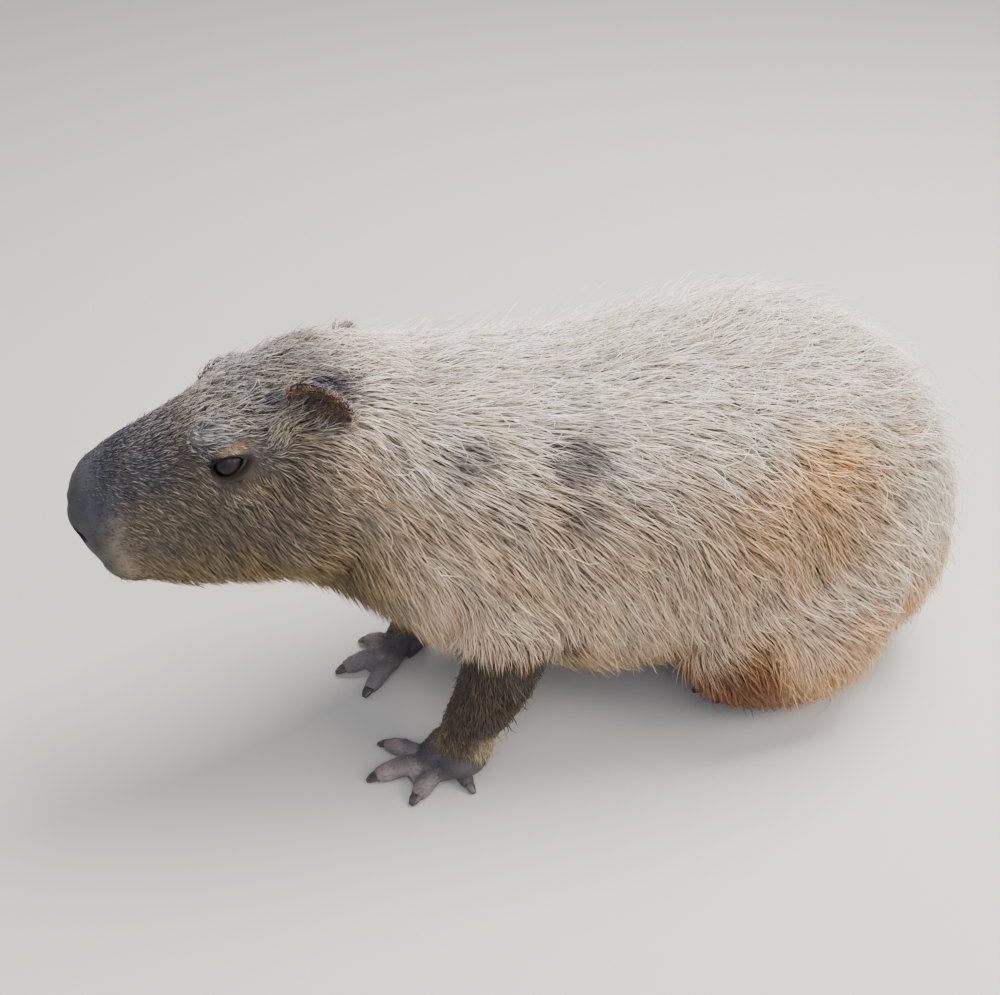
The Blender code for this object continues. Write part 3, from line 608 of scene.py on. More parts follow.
skin = makeSkin()
print("capybara: skin", len(skin.data.vertices), "points")


# Areas of the animal
def legDistance(points, kind):  # to the middle line of the nearer leg of that kind
    stations = np.array(list(limbs[kind].values()))[:, :3]
    mirrored = points.copy()
    mirrored[:, 0] = np.abs(mirrored[:, 0])
    nearest = np.full(len(points), 9.0)
    for start, stop in zip(stations, stations[1:]):
        along = stop - start
        share = np.clip((mirrored - start) @ along / (along @ along), 0, 1)
        nearest = np.minimum(nearest, np.linalg.norm(mirrored - start - share[:, None] * along, axis=1))
    return nearest


def near(points, place, radii, mirror=True):  # 1 at the place, 0 outside the radii
    spots = points.copy()
    if mirror:
        spots[:, 0] = np.abs(spots[:, 0])
    reach = np.linalg.norm((spots - np.array(place)) / np.array(radii), axis=1)
    return fade(0.45, 1.0, reach)


regions = {  # metres: where each area of the coat is full and where it ends
    "head": (0.235, 0.30),  # back from the nose
    "foreleg": {"away": (0.040, 0.062), "high": (0.180, 0.205)},  # from the leg's middle line, and up
    "hindleg": {"away": (0.085, 0.125), "high": (0.07, 0.13)},
    "fore foot": {"high": (0.036, 0.056), "behind": 0.10},
    "hind foot": {"high": (0.024, 0.034), "behind": 0.25, "outwards": (0.115, 0.13), "middle": 0.064},
    "elbow": ((0.112, 0.070, 0.122), (0.05, 0.045, 0.046)),  # place and half sizes
    "wrist": ((0.108, 0.052, 0.050), (0.020, 0.024, 0.034)),
    "tuft": ((0.062, 0.196, 0.022), (0.016, 0.016, 0.018)),  # before the ear, in the head's frame
    "ear": (0.004, 0.014, 0.016),  # its middle, from its root
}


def areas(points, normals):
    head = inHead(points)
    side = np.sign(head[:, 0])
    head[:, 0] = np.abs(head[:, 0])
    found = {"across": head[:, 0], "along": head[:, 1], "high": head[:, 2], "side": side}
    found["head"] = fade(*regions["head"], head[:, 1])
    found["top"] = ease(0.15, 0.85, normals[:, 2])
    found["under"] = ease(0.1, 0.8, -normals[:, 2])
    for name, kind in (("foreleg", "fore"), ("hindleg", "hind")):
        leg = regions[name]
        found[name] = fade(*leg["away"], legDistance(points, kind)) * fade(*leg["high"], points[:, 2])
    fore, hind = regions["fore foot"], regions["hind foot"]
    outwards = np.abs(points[:, 0])
    foreFoot = fade(*fore["high"], points[:, 2]) * (points[:, 1] < fore["behind"])
    hindFoot = fade(*hind["high"], points[:, 2]) * (points[:, 1] > hind["behind"])
    hindFoot = hindFoot * fade(*hind["outwards"], outwards)
    hindFoot *= fade(0.036, 0.042, np.abs(outwards - hind["middle"]))
    found["foot"] = np.maximum(foreFoot, hindFoot)
    fromEye = (head - np.array(eyeShape["place"])) / np.array([1, 1, 0.8])
    fromNostril = (head - np.array(noseShape["place"])) / np.array([1, 1, 1.6])
    fromEar = head - (np.array(earShape["place"]) + np.array(regions["ear"]))
    for name, reach in (("eye", fromEye), ("ear", fromEar), ("nostril", fromNostril)):
        found[name] = np.linalg.norm(reach, axis=1)
    found["elbow"] = near(points, *regions["elbow"])
    found["wrist"] = near(points, *regions["wrist"])
    found["tuft"] = near(head, *regions["tuft"])
    return found


markings = {  # the coat's colours, from the lightest hair along the back to the dark feet; back, nape and rump are lightened with painted light, the throat and the eye's surround darkened with painted shade
    "straw": "#ae9a82",
    "back": "#e8dfd3",
    "flank": "#d0b9a0",
    "belly": "#a98b62",
    "rump": "#f7eadb",
    "ochre": "#dcac72",
    "rust": "#673b1b",
    "elbow": "#6d5434",
    "wrist": "#b8a98a",
    "foreleg": "#4b4036",
    "foot": "#4c474c",
    "toe": "#8a7f7e",
    "chest": "#a3968a",
    # painted shade beneath the head
    "throat": "#4a3d31",
    "patch": "#5a565c",
    "nape": "#dbd0c3",
    "crown": "#878079",
    "forehead": "#8b8683",
    "cheek": "#736759",
    "jaw": "#82714f",
    "muzzle": "#706657",
    "bridge": "#555256",
    "nose": "#3c3d45",
    "lid": "#8c755c",
    "brow": "#6c6c76",
    "under eye": "#77684c",
    "dark skin and lid shade": "#463b33",
    "tuft": "#a89c86",
    "ear": "#4b4a52",
    "ear inside": "#917865",
}


spots = {  # of the trunk: place, half sizes, whether on both sides, share of the colour
    "ochre": (
        ((0.120, 0.330, 0.290), (0.07, 0.12, 0.09), True, 0.35),
        ((0.114, 0.340, 0.316), (0.05, 0.046, 0.038), True, 0.6),
        ((0.085, 0.49, 0.14), (0.09, 0.08, 0.09), True, 0.4),
    ),
    "patch": (
        ((0.078, 0.034, 0.366), (0.05, 0.030, 0.022), False, 0.65),
        ((0.090, 0.118, 0.352), (0.05, 0.036, 0.022), False, 0.85),
        ((0.108, 0.120, 0.315), (0.05, 0.020, 0.022), False, 0.7),
        ((-0.105, 0.130, 0.315), (0.05, 0.040, 0.024), False, 0.6),
    ),
}
roundEye = (  # back and up from the eye, half sizes, share of the colour
    # dark skin round the eye, deepened with painted shade from the lids and socket
    ("dark skin and lid shade", (0.002, -0.004), (0.03, 0.030, 0.017), 0.8),
    ("brow", (-0.002, 0.027), (0.03, 0.024, 0.010), 0.30),
    ("brow", (-0.026, 0.016), (0.03, 0.008, 0.006), 0.6),
    ("under eye", (0.014, -0.016), (0.03, 0.016, 0.010), 0.7),
    ("lid", (0.003, 0.0125), (0.03, 0.023, 0.0075), 0.9),
)


def coatColours(points, normals):
    found = areas(points, normals)
    colour = np.tile(np.array(fromHex(markings["straw"])), (len(points), 1))

    def tint(name, share):
        share = np.clip(share, 0, 1)[:, None]
        colour[:] = colour * (1 - share) + np.array(fromHex(markings[name])) * share

    def spot(name):
        for place, radii, both, share in spots[name]:
            tint(name, near(points, place, radii, both) * share)

    y, z = points[:, 1], points[:, 2]
    drift = waves(points, 0.09, 3) * 0.03
    tint("flank", fade(0.22, 0.34, z + drift) * 0.8)
    # Upward-facing fur on the back and nape is lightened: a slightly paler coat there, with painted light
    # from above
    tint("back", found["top"] * ease(-0.10, 0.05, y) * 0.95)
    tint("nape", fade(0.27, 0.36, found["along"]) * (0.05 + 0.9 * found["top"]))
    # The rear of the rump is made near-white: a paler rump coat, with painted light on its lit rear
    tint("rump", ease(0.38, 0.50, y + drift) * ease(0.10, 0.20, z) * 0.85)
    spot("ochre")
    tint("belly", found["under"] * ease(0.05, 0.12, y) * 0.8)
    tint("chest", fade(0.09, 0.16, z + drift) * fade(0.02, 0.12, y) * 0.6)
    tint("ochre", fade(0.10, 0.17, z + drift) * ease(0.22, 0.28, y) * 0.6)
    rustTop = 0.160 - 0.085 * ease(0.26, 0.37, y)
    rust = fade(rustTop - 0.05, rustTop + 0.015, z + drift) * ease(0.20, 0.24, y)
    tint("rust", rust * fade(0.30, 0.42, y) * 0.92)
    tint("elbow", found["elbow"] * 0.85)
    spot("patch")
    tint("foreleg", found["foreleg"] * fade(0.172, 0.198, z))
    tint("wrist", found["wrist"] * 0.9)
    along, high, across = found["along"], found["high"], found["across"]
    head = fade(0.195, 0.255, along)
    tint("cheek", head)
    tint("crown", head * ease(0.012, 0.045, high) * ease(0.15, 0.20, along))
    tint("forehead", head * ease(-0.01, 0.03, high) * ease(0.09, 0.14, along) * fade(0.17, 0.21, along))
    tint("jaw", head * fade(-0.10, -0.05, high) * ease(0.05, 0.12, along))
    # The dark underside of the head and throat is painted shade beneath the head
    tint("throat", head * found["under"] * ease(0.15, 0.20, along) * 0.9)
    tint("muzzle", fade(0.08, 0.13, along))
    tint("bridge", ease(-0.03, 0.0, high - (along - 0.05) * 0.3) * fade(0.09, 0.13, along))
    tint("jaw", fade(-0.075, -0.05, high) * ease(0.004, 0.02, along) * fade(0.09, 0.12, along) * 0.6)
    tint("nose", fade(0.010, 0.034, along - np.maximum(0, high + 0.05) * 0.55))
    eyeAcross, eyeAlong, eyeHigh = eyeShape["place"]
    headPoints = np.stack([across, along, high], -1)
    for name, (back, up), radii, share in roundEye:
        place = (eyeAcross, eyeAlong + back, eyeHigh + up)
        tint(name, near(headPoints, place, radii) * share)
    tint("ear", near(headPoints, (0.058, 0.188, 0.043), (0.03, 0.022, 0.010)) * 0.85)
    tint("ear", fade(0.028, 0.036, found["ear"]))
    for word, side in sides.items():
        inside = ease(0.3, 0.7, normals @ np.array(earAxes(word)[1])) * (found["side"] * side > 0)
        tint("ear inside", inside * fade(0.026, 0.031, found["ear"]) * (along > 0.19) * 0.9)
    tint("tuft", found["tuft"] * 0.5)
    tint("foot", found["foot"])
    tint("toe", found["foot"] * fade(0.016, 0.026, z) * fade(-0.01, 0.015, y) * 0.7)
    mottle = 1 + 0.10 * waves(points, 0.035, 5) + 0.06 * waves(points, 0.012, 6)
    warmth = (0.05 * waves(points, 0.05, 7))[:, None] * np.array([1, 0.1, -1.2])
    return np.clip(colour * mottle[:, None] * (1 + warmth), 0.003, 0.9)


hairSizes = {  # along the animal from the nose: millimetres of length, and degrees the root stands off
    "along": (0.015, 0.040, 0.070, 0.100, 0.140, 0.180, 0.220, 0.270, 0.330, 0.450),
    "length": (3.0, 8.5, 11.5, 14.0, 17.0, 21.0, 27.0, 34.0, 41.0, 46.0),
    "stand": (14, 20, 25, 28, 30, 30, 29, 27, 25, 24),
    "foreleg": ((0.03, 0.05, 0.10, 0.17, 0.205), (6, 9, 13, 18, 46)),  # metres up, millimetres of length
    "hindleg": ((0.02, 0.06, 0.12), (22, 34, 44)),
    "chin": 9.0,
    "elbow": 34.0,
    "wrist": 24.0,
    "foot": 3.5,
    "ear": 6.5,
    "tuft": 17.0,
}


def hairLength(points, found):
    length = np.interp(found["along"], hairSizes["along"], hairSizes["length"])
    jaw = fade(-0.11, -0.05, found["high"]) * ease(0.05, 0.12, found["along"])
    length *= 1 + 0.30 * found["head"] * jaw
    chin = fade(-0.08, -0.055, found["high"]) * fade(0.05, 0.08, found["along"])
    length += (hairSizes["chin"] - length) * chin * ease(0.004, 0.02, found["along"])
    length *= 1 + 0.25 * found["head"] * found["top"] * ease(0.10, 0.16, found["along"])
    length *= 1 + 0.25 * found["under"] * (1 - found["head"])
    for leg in ("foreleg", "hindleg"):
        length += (np.interp(points[:, 2], *hairSizes[leg]) - length) * found[leg]
    for name, share in (
        ("elbow", found["elbow"] * 0.7),
        ("wrist", found["wrist"]),
        ("foot", found["foot"] * (1 - found["wrist"])),
        ("ear", fade(0.026, 0.036, found["ear"])),
        ("tuft", found["tuft"]),
    ):
        length += (hairSizes[name] - length) * share
    return length * (1 - 0.7 * fade(0.019, 0.032, found["eye"])) / 1000


def hairStand(points, found):  # radians between the root of the hair and the skin
    stand = np.interp(found["along"], hairSizes["along"], hairSizes["stand"])
    stand += 26.0 * found["top"] * ease(0.09, 0.15, found["along"]) * fade(0.24, 0.36, found["along"])
    stand += 12.0 * found["top"] * ease(0.20, 0.34, points[:, 1])
    stand += 16.0 * found["under"]
    stand -= 9.0 * np.maximum(found["foreleg"], found["foot"])
    stand += 22.0 * found["tuft"]
    return np.radians(stand)


def lieOfCoat(points, normals, found):
    flank = (1 - np.maximum(0, normals[:, 2]))[:, None]
    body = np.array([0, 1, -0.12]) + np.array([0, -0.45, -0.85]) * flank
    acrossAxis, backAxis, upAxis = (np.array(axis) for axis in headAxes())
    onTop = ease(-0.02, 0.03, found["high"])[:, None]
    steep = (1.0 + 0.6 * ease(0.07, 0.15, found["along"]))[:, None]
    face = backAxis - upAxis * (steep * (1 - onTop)) + acrossAxis * (found["side"][:, None] * 0.12 * onTop)
    way = body + (face - body) * fade(0.19, 0.31, found["along"])[:, None]
    leg = np.array([0, 0.22, -1.0])
    way = way + (leg - way) * np.maximum(found["foreleg"], found["hindleg"] * 0.6)[:, None]
    foot = np.array([0, -1.0, -0.2])
    way = way + (foot - way) * (found["foot"] * (points[:, 1] < 0.02))[:, None]
    onEar = fade(0.026, 0.036, found["ear"]) * (found["along"] > 0.19)
    tuft = backAxis * 0.7 + upAxis * 0.8
    way = way + (tuft - way) * found["tuft"][:, None]
    for word, side in sides.items():
        ear = np.array(earAxes(word)[0])
        way = way + (ear - way) * (onEar * (found["side"] * side > 0))[:, None]
    return unit(way - normals * (way * normals).sum(1, keepdims=True))


# The skin carries the coat's markings, darker under the hair from its own tone and painted shade beneath
# the coat, and folds finer than its mesh could melt
skinSurface = {
    "folds": 0.0006,
    # the skin under the hair: its own darker tone plus painted shade beneath the coat
    "darker": 0.55,
    "bareDarker": 0.95,
    "greyer": 0.25,
    "lidRim": {"colour": "#0f0c0c", "half": 0.0205, "above": 0.0088, "below": 0.0125},
    # the nostril's inside: painted shade deep in the hollow
    "nostril": {"colour": "#141214", "ring": (0.005, 0.0085)},
}


def setColours(mesh, name, colours):
    layer = mesh.color_attributes.new(name, "FLOAT_COLOR", "POINT")
    filled = np.ones((len(colours), 4), np.float32)
    filled[:, :3] = colours
    layer.data.foreach_set("color", filled.ravel())


def finishSkin():
    mesh = skin.data
    points, normals = vertexArrays(mesh)
    found = areas(points, normals)
    folds = waves(points * np.array([1, 1, 1.6]), 0.016, 21) * waves(points, 0.05, 22)
    bare = np.maximum(found["foot"], fade(0.03, 0.06, found["along"]))
    keep = ease(0.022, 0.034, found["eye"]) * ease(0.012, 0.02, found["nostril"])
    keep = keep * ease(0.001, 0.006, points[:, 2])
    shift = (skinSurface["folds"] * folds * keep)[:, None] * normals
    mesh.vertices.foreach_set("co", (points + shift).astype(np.float32).ravel())
    tone = coatColours(points, normals)
    grey = tone.mean(1, keepdims=True)
    muted = tone * (1 - skinSurface["greyer"]) + grey * skinSurface["greyer"]
    # Skin under the hair is darkened more than bare skin: its own darker tone plus painted shade beneath
    # the coat
    darker = skinSurface["darker"] + (skinSurface["bareDarker"] - skinSurface["darker"]) * bare
    colours = muted * darker[:, None]
    rim, lidRim = np.zeros(len(points)), skinSurface["lidRim"]
    for side in sides.values():
        out, along, up = (np.array(axis) for axis in eyeAxes(side))
        reach = points - np.array(eyeMiddle(side))
        a, u = reach @ along, reach @ up
        tall = np.where(u > 0, lidRim["above"], lidRim["below"])
        ring = fade(0.80, 1.1, np.hypot(a / lidRim["half"], u / tall))
        rim = np.maximum(rim, ring * (np.abs(reach @ out) < 0.03))
    colours += (np.array(fromHex(lidRim["colour"])) - colours) * rim[:, None]
    # The inside of each nostril is painted near-black: painted shade deep in the hollow
    hollow = fade(*skinSurface["nostril"]["ring"], found["nostril"])
    colours += (np.array(fromHex(skinSurface["nostril"]["colour"])) - colours) * hollow[:, None]
    setColours(mesh, "skin tone", colours)
    mesh.update()


finishSkin()
skinTree = BVHTree.FromPolygons(
    [v.co[:] for v in skin.data.vertices], [tuple(p.vertices) for p in skin.data.polygons]
)


# Materials
noiseRange = {"From Min": 0.3, "From Max": 0.7}  # most of a noise texture's values lie here


def newMaterial(name):
    made = bpy.data.materials.new(name)
    made.use_nodes = True
    tree = made.node_tree
    return made, tree, tree.nodes["Principled BSDF"]


def addNode(tree, kind, settings=None, links=None):
    node = tree.nodes.new(kind)
    for name, value in (settings or {}).items():
        if isinstance(name, int) or name in node.inputs:
            node.inputs[name].default_value = value
        else:
            setattr(node, name, value)
    for name, socket in (links or {}).items():
        tree.links.new(socket, node.inputs[name])
    return node


def objectPoints(tree):
    return addNode(tree, "ShaderNodeTexCoord").outputs["Object"]


def coarseHair():
    # Keratin guard hair, coarse and dry: soft long highlights, each hair a little lighter or darker
    made, tree, shader = newMaterial("coarse dry keratin hair")
    tone = addNode(tree, "ShaderNodeAttribute", {"attribute_name": "hair tone"})
    place = objectPoints(tree)
    grain = addNode(tree, "ShaderNodeTexNoise", {"Scale": 900.0, "Detail": 2.0}, {"Vector": place})
    spread = {**noiseRange, "To Min": 0.88, "To Max": 1.12}
    light = addNode(tree, "ShaderNodeMapRange", spread, {0: grain.outputs["Fac"]})
    parts = {0: tone.outputs["Color"], "Scale": light.outputs[0]}
    colour = addNode(tree, "ShaderNodeVectorMath", {"operation": "SCALE"}, parts)
    tree.links.new(colour.outputs[0], shader.inputs["Base Color"])
    shader.inputs["Roughness"].default_value = 0.52
    shader.inputs["IOR"].default_value = 1.55
    shader.inputs["Specular IOR Level"].default_value = 0.35
    return made


def animalSkin():
    # Living skin: matt, finely creased and pored, its shine varying with the creases
    made, tree, shader = newMaterial("creased animal skin")
    tone = addNode(tree, "ShaderNodeAttribute", {"attribute_name": "skin tone"})
    place = objectPoints(tree)
    wavy = {"Scale": 260.0, "Detail": 3.0, "Distortion": 1.5}  # creases of about 4 mm, as on the feet
    creases = addNode(tree, "ShaderNodeTexNoise", wavy, {"Vector": place})
    dots = {"feature": "SMOOTH_F1", "Scale": 800.0}  # pores 1.2 mm apart
    pores = addNode(tree, "ShaderNodeTexVoronoi", dots, {"Vector": place})
    mottle = addNode(tree, "ShaderNodeTexNoise", {"Scale": 55.0, "Detail": 5.0}, {"Vector": place})
    spread = {**noiseRange, "To Min": 0.78, "To Max": 1.2}
    light = addNode(tree, "ShaderNodeMapRange", spread, {0: mottle.outputs["Fac"]})
    parts = {0: tone.outputs["Color"], "Scale": light.outputs[0]}
    colour = addNode(tree, "ShaderNodeVectorMath", {"operation": "SCALE"}, parts)
    tree.links.new(colour.outputs[0], shader.inputs["Base Color"])
    parts = {0: pores.outputs["Distance"], 2: creases.outputs["Fac"]}
    height = addNode(tree, "ShaderNodeMath", {"operation": "MULTIPLY_ADD", 1: 0.5}, parts)
    relief = {"Strength": 0.45, "Distance": 0.0007}
    bump = addNode(tree, "ShaderNodeBump", relief, {"Height": height.outputs[0]})
    tree.links.new(bump.outputs["Normal"], shader.inputs["Normal"])
    spread = {**noiseRange, "To Min": 0.5, "To Max": 0.72}
    rough = addNode(tree, "ShaderNodeMapRange", spread, {0: creases.outputs["Fac"]})
    tree.links.new(rough.outputs[0], shader.inputs["Roughness"])
    shader.inputs["Specular IOR Level"].default_value = 0.25
    return made


def horn():
    # Hoof-like claw horn: dark, waxy, with fine streaks
    made, tree, shader = newMaterial("dark claw horn")
    place = objectPoints(tree)
    fine = {"Scale": 700.0, "Detail": 3.0, "Distortion": 0.6}
    streaks = addNode(tree, "ShaderNodeTexNoise", fine, {"Vector": place})
    ramp = addNode(tree, "ShaderNodeValToRGB", None, {"Fac": streaks.outputs["Fac"]})
    ramp.color_ramp.elements[0].color = (*fromHex("#26211f"), 1)
    ramp.color_ramp.elements[0].position = 0.35
    ramp.color_ramp.elements[1].color = (*fromHex("#5d5350"), 1)
    ramp.color_ramp.elements[1].position = 0.75
    tree.links.new(ramp.outputs["Color"], shader.inputs["Base Color"])
    relief = {"Strength": 0.35, "Distance": 0.0003}
    bump = addNode(tree, "ShaderNodeBump", relief, {"Height": streaks.outputs["Fac"]})
    tree.links.new(bump.outputs["Normal"], shader.inputs["Normal"])
    shader.inputs["Roughness"].default_value = 0.42
    shader.inputs["IOR"].default_value = 1.54
    return made


def wetEye():
    # Cornea over a dark iris: wet and clear-coated, with a painted blue-grey sky reflection in the middle
    made, tree, shader = newMaterial("wet cornea with painted reflection")
    tone = addNode(tree, "ShaderNodeAttribute", {"attribute_name": "eye tone"})
    tree.links.new(tone.outputs["Color"], shader.inputs["Base Color"])
    shader.inputs["Roughness"].default_value = 0.32
    shader.inputs["IOR"].default_value = 1.376
    shader.inputs["Specular IOR Level"].default_value = 0.15
    shader.inputs["Coat Weight"].default_value = 0.05
    shader.inputs["Coat Roughness"].default_value = 0.08
    return made


materials = {"hair": coarseHair(), "skin": animalSkin(), "horn": horn(), "eye": wetEye()}
print("capybara: materials")


# Coat: each hair or tuft is a closed three-sided taper that walks over the skin along the lie
coat = {  # each kind's counts, millimetres across, and how it differs from what its area asks for
    "kinds": {  # stray is the share that stands out, glint how much lighter the palest hairs are; undercoat hairs are darkened with painted shade deep in the coat, top hairs lightened with painted light
        "under": {
            "count": 15000, "rings": 3, "width": 2.0, "length": 0.60, "longest": 1.2, "stand": 0.6,
            "stray": 0.02, "curl": 0.15, "clump": 0.4, "shade": 0.62, "glint": 1.24,
        },
        "guard": {
            "count": 45000, "rings": 4, "width": 0.92, "length": 1.0, "longest": 1.2, "stand": 0.95,
            "stray": 0.04, "curl": 0.16, "clump": 0.36, "shade": 1.0, "glint": 1.24,
        },
        "top": {
            "count": 11000, "rings": 5, "width": 0.85, "length": 1.0, "longest": 1.35, "stand": 1.1,
            "stray": 0.30, "curl": 0.46, "clump": 0.25, "shade": 1.08, "glint": 1.24,
        },
        "face": {
            "count": 33000, "rings": 3, "width": 0.92, "length": 1.08, "longest": 1.2, "stand": 1.0,
            "stray": 0.05, "curl": 0.24, "clump": 0.36, "shade": 1.0, "glint": 1.65,
        },
    },
    "seed": 5,
    "mostTriangles": 184000,  # in one piece
    "shortest": 0.65,
    "stands": (0.45, 1.45),  # least and most, beside what the area asks for
    "strayStands": (0.6, 1.15),  # radians at the root
    "strayEnds": (-0.3, 0.5),  # radians at the tip
    "strayCurl": 3.0,
    "spread": 0.13,  # radians by which neighbours differ
    "sway": ((0.20, 0.085, 11), (0.10, 0.026, 12)),  # radians, size and seed of the coat's partings
    "settle": -0.12,  # radians at the tip: hairs bend back down to the coat
    "hang": 0.55,  # radians more at the tip below the throat and the belly, where hairs hang free
    "rooted": 0.0012,  # metres that a hair starts inside the skin
    "lifted": 0.0004,  # least height above the skin
    "widest": 0.156,  # metres from the middle beyond which hairs lie pressed down on the thighs
    "pressed": 0.65,
    "lockSize": 7,  # hairs whose tips lean together
    "patch": 0.003,  # size of each hair's place in the unwrapped picture
    "tones": {"varies": 0.15, "dark": 0.18, "darkBy": 0.56, "pale": 0.84, "least": 0.35, "most": 1.7},
    "along": ((0, 0.42), (0.35, 0.95), (1, 1.22)),  # place along the hair, and how light it is there: the hair's own darker root, deepened with painted shade inside the coat
}


def barePlaces(points, normals, found):  # where no hair grows
    bare = found["eye"] < 0.0185
    bare |= found["along"] < 0.008
    bare |= found["nostril"] < 0.0095
    bare |= points[:, 2] < 0.010
    bare |= (found["foot"] > 0.5) & (normals[:, 2] < 0.15)
    for word, side in sides.items():
        face = np.array(earAxes(word)[1])
        bare |= (found["ear"] < 0.012) & (found["side"] * side > 0) & (normals @ face > 0.5)
    return bare


def scatter(count, weigh, draw):  # even places over the skin, in proportion to a weight
    mesh = skin.data
    mesh.calc_loop_triangles()
    corners = np.empty(len(mesh.loop_triangles) * 3, np.int32)
    mesh.loop_triangles.foreach_get("vertices", corners)
    corners = corners.reshape(-1, 3)
    points, normals = vertexArrays(mesh)
    a, b, c = (points[corners[:, i]] for i in range(3))
    size = np.linalg.norm(np.cross(b - a, c - a), axis=1) / 2
    middle = (a + b + c) / 3
    facing = unit(np.cross(b - a, c - a))
    total = np.cumsum(size * weigh(middle, facing, areas(middle, facing)))
    picks = (np.arange(count) + draw.random(count)) / count * total[-1]
    chosen = np.searchsorted(total, picks).clip(0, len(corners) - 1)
    u, v = draw.random(count), draw.random(count)
    flip = u + v > 1
    u[flip], v[flip] = 1 - u[flip], 1 - v[flip]
    place = a[chosen] + (b - a)[chosen] * u[:, None] + (c - a)[chosen] * v[:, None]
    na, nb, nc = (normals[corners[chosen, i]] for i in range(3))
    return place, unit(na * (1 - u - v)[:, None] + nb * u[:, None] + nc * v[:, None])


def onSkin(points):
    places, normals = np.empty_like(points), np.empty_like(points)
    for i, point in enumerate(points):
        place, normal = skinTree.find_nearest(point)[:2]
        places[i], normals[i] = place, normal
    return places, normals


def growHair(kind, weigh, draw):
    how = coat["kinds"][kind]
    count = how["count"] // 1
    roots, normals = scatter(count, weigh, draw)
    count = len(roots)
    found = areas(roots, normals)
    length = hairLength(roots, found) * how["length"]
    length = length * draw.uniform(coat["shortest"], how["longest"], count)
    start = hairStand(roots, found) * how["stand"] * draw.uniform(*coat["stands"], count)
    stray = draw.random(count) < how["stray"]
    start = np.where(stray, draw.uniform(*coat["strayStands"], count), start)
    steps = how["rings"] - 1
    turn = draw.normal(0, coat["spread"], count)
    turn += sum(amount * waves(roots, size, seed) for amount, size, seed in coat["sway"])
    curl = draw.normal(0, how["curl"], count) * np.where(stray, coat["strayCurl"], 1.0)
    free = (1 - found["foreleg"]) * (1 - found["hindleg"]) * (1 - found["foot"])
    hanging = ease(-0.25, 0.20, -normals[:, 2]) * free
    hanging = hanging * ease(0.02, 0.07, found["along"])
    steep = 0.7 * (start - 0.45) * (start > 0.45)  # a hair that stands more bends back more
    stop = coat["settle"] - steep * (1 - hanging) + coat["hang"] * hanging
    stop = np.where(stray, draw.uniform(*coat["strayEnds"], count), stop)
    place, normal = roots, normals
    height = np.zeros(count)
    path, facing = [roots - normals * coat["rooted"]], [normals]
    for k in range(1, steps + 1):
        share = (k - 0.5) / steps
        way = lieOfCoat(place, normal, areas(place, normal))
        across = np.cross(normal, way)
        angle = turn + curl * share**2
        way = way * np.cos(angle)[:, None] + across * np.sin(angle)[:, None]
        rise = start + (stop - start) * share**0.8
        place, normal = onSkin(place + way * (length / steps * np.cos(rise))[:, None])
        normal = unit(normal + facing[-1])
        height = np.maximum(height + length / steps * np.sin(rise), coat["lifted"])
        path.append(place + normal * height[:, None])
        facing.append(normal)
    path, facing = np.stack(path, 1), np.stack(facing, 1)
    path = gathered(path, how["clump"], draw)
    path[:, 1:, 2] = np.maximum(path[:, 1:, 2], 0.0008)  # off the floor
    outwards = np.maximum(np.abs(path[:, :, 0]) - coat["widest"], 0)
    path[:, :, 0] -= np.sign(path[:, :, 0]) * outwards * coat["pressed"]
    grown = {"kind": kind, "roots": roots, "normals": normals, "length": length}
    return {**grown, "path": path, "facing": facing}


def gathered(path, amount, draw):  # neighbouring tips lean together into small locks
    leaders = draw.permutation(len(path))[: max(1, len(path) // coat["lockSize"])]
    tree = KDTree(len(leaders))
    for i, leader in enumerate(leaders):
        tree.insert(path[leader, 0], i)
    tree.balance()
    nearest = np.array([leaders[tree.find(root)[1]] for root in path[:, 0]])
    strength = draw.uniform(0.2, 1.0, len(path))[nearest] * amount
    shares = np.linspace(0, 1, path.shape[1]) ** 1.4
    pull = (strength[:, None] * shares[None, :])[:, :, None]
    return path * (1 - pull) + path[nearest] * pull


def unwrap(points):  # round the body and along it, with a patch of its own for each leg
    trunkLine = np.array([(row[0], row[1], row[3]) for row in trunk.values()])
    noseX, noseY, noseZ = headPose["noseTip"]
    line = np.vstack([(noseY, noseX, noseZ - 0.035), trunkLine])
    middleX = np.interp(points[:, 1], line[:, 0], line[:, 1])
    middleZ = np.interp(points[:, 1], line[:, 0], line[:, 2])
    angle = np.arctan2(points[:, 0] - middleX, points[:, 2] - middleZ)
    u = 0.5 + angle / (2 * math.pi) * 0.97
    v = 0.32 + 0.66 * (points[:, 1] - noseY + 0.01) / 0.86
    for slot, (kind, side) in enumerate((k, s) for k in ("fore", "hind") for s in (1, -1)):
        low = 0.13 if kind == "fore" else 0.05
        wide = 0.06 if kind == "fore" else 0.10
        onLeg = (points[:, 2] < low) & (legDistance(points, kind) < wide) & (points[:, 0] * side > 0)
        stations = np.array(list(limbs[kind].values()))
        x = np.interp(points[:, 2], stations[::-1, 2], stations[::-1, 0]) * side
        y = np.interp(points[:, 2], stations[::-1, 2], stations[::-1, 1])
        turn = np.arctan2(points[:, 1] - y, points[:, 0] - x)
        u = np.where(onLeg, 0.125 + 0.25 * slot + turn / (2 * math.pi) * 0.23, u)
        v = np.where(onLeg, 0.02 + points[:, 2] / 0.15 * 0.26, v)
    return np.stack([u, v], -1)


# Share of the width at each ring of a hair, for hairs of so many rings with the tip
hairShapes = {5: (0.8, 1.0, 0.85, 0.6), 4: (0.8, 1.0, 0.72), 3: (0.9, 0.95)}


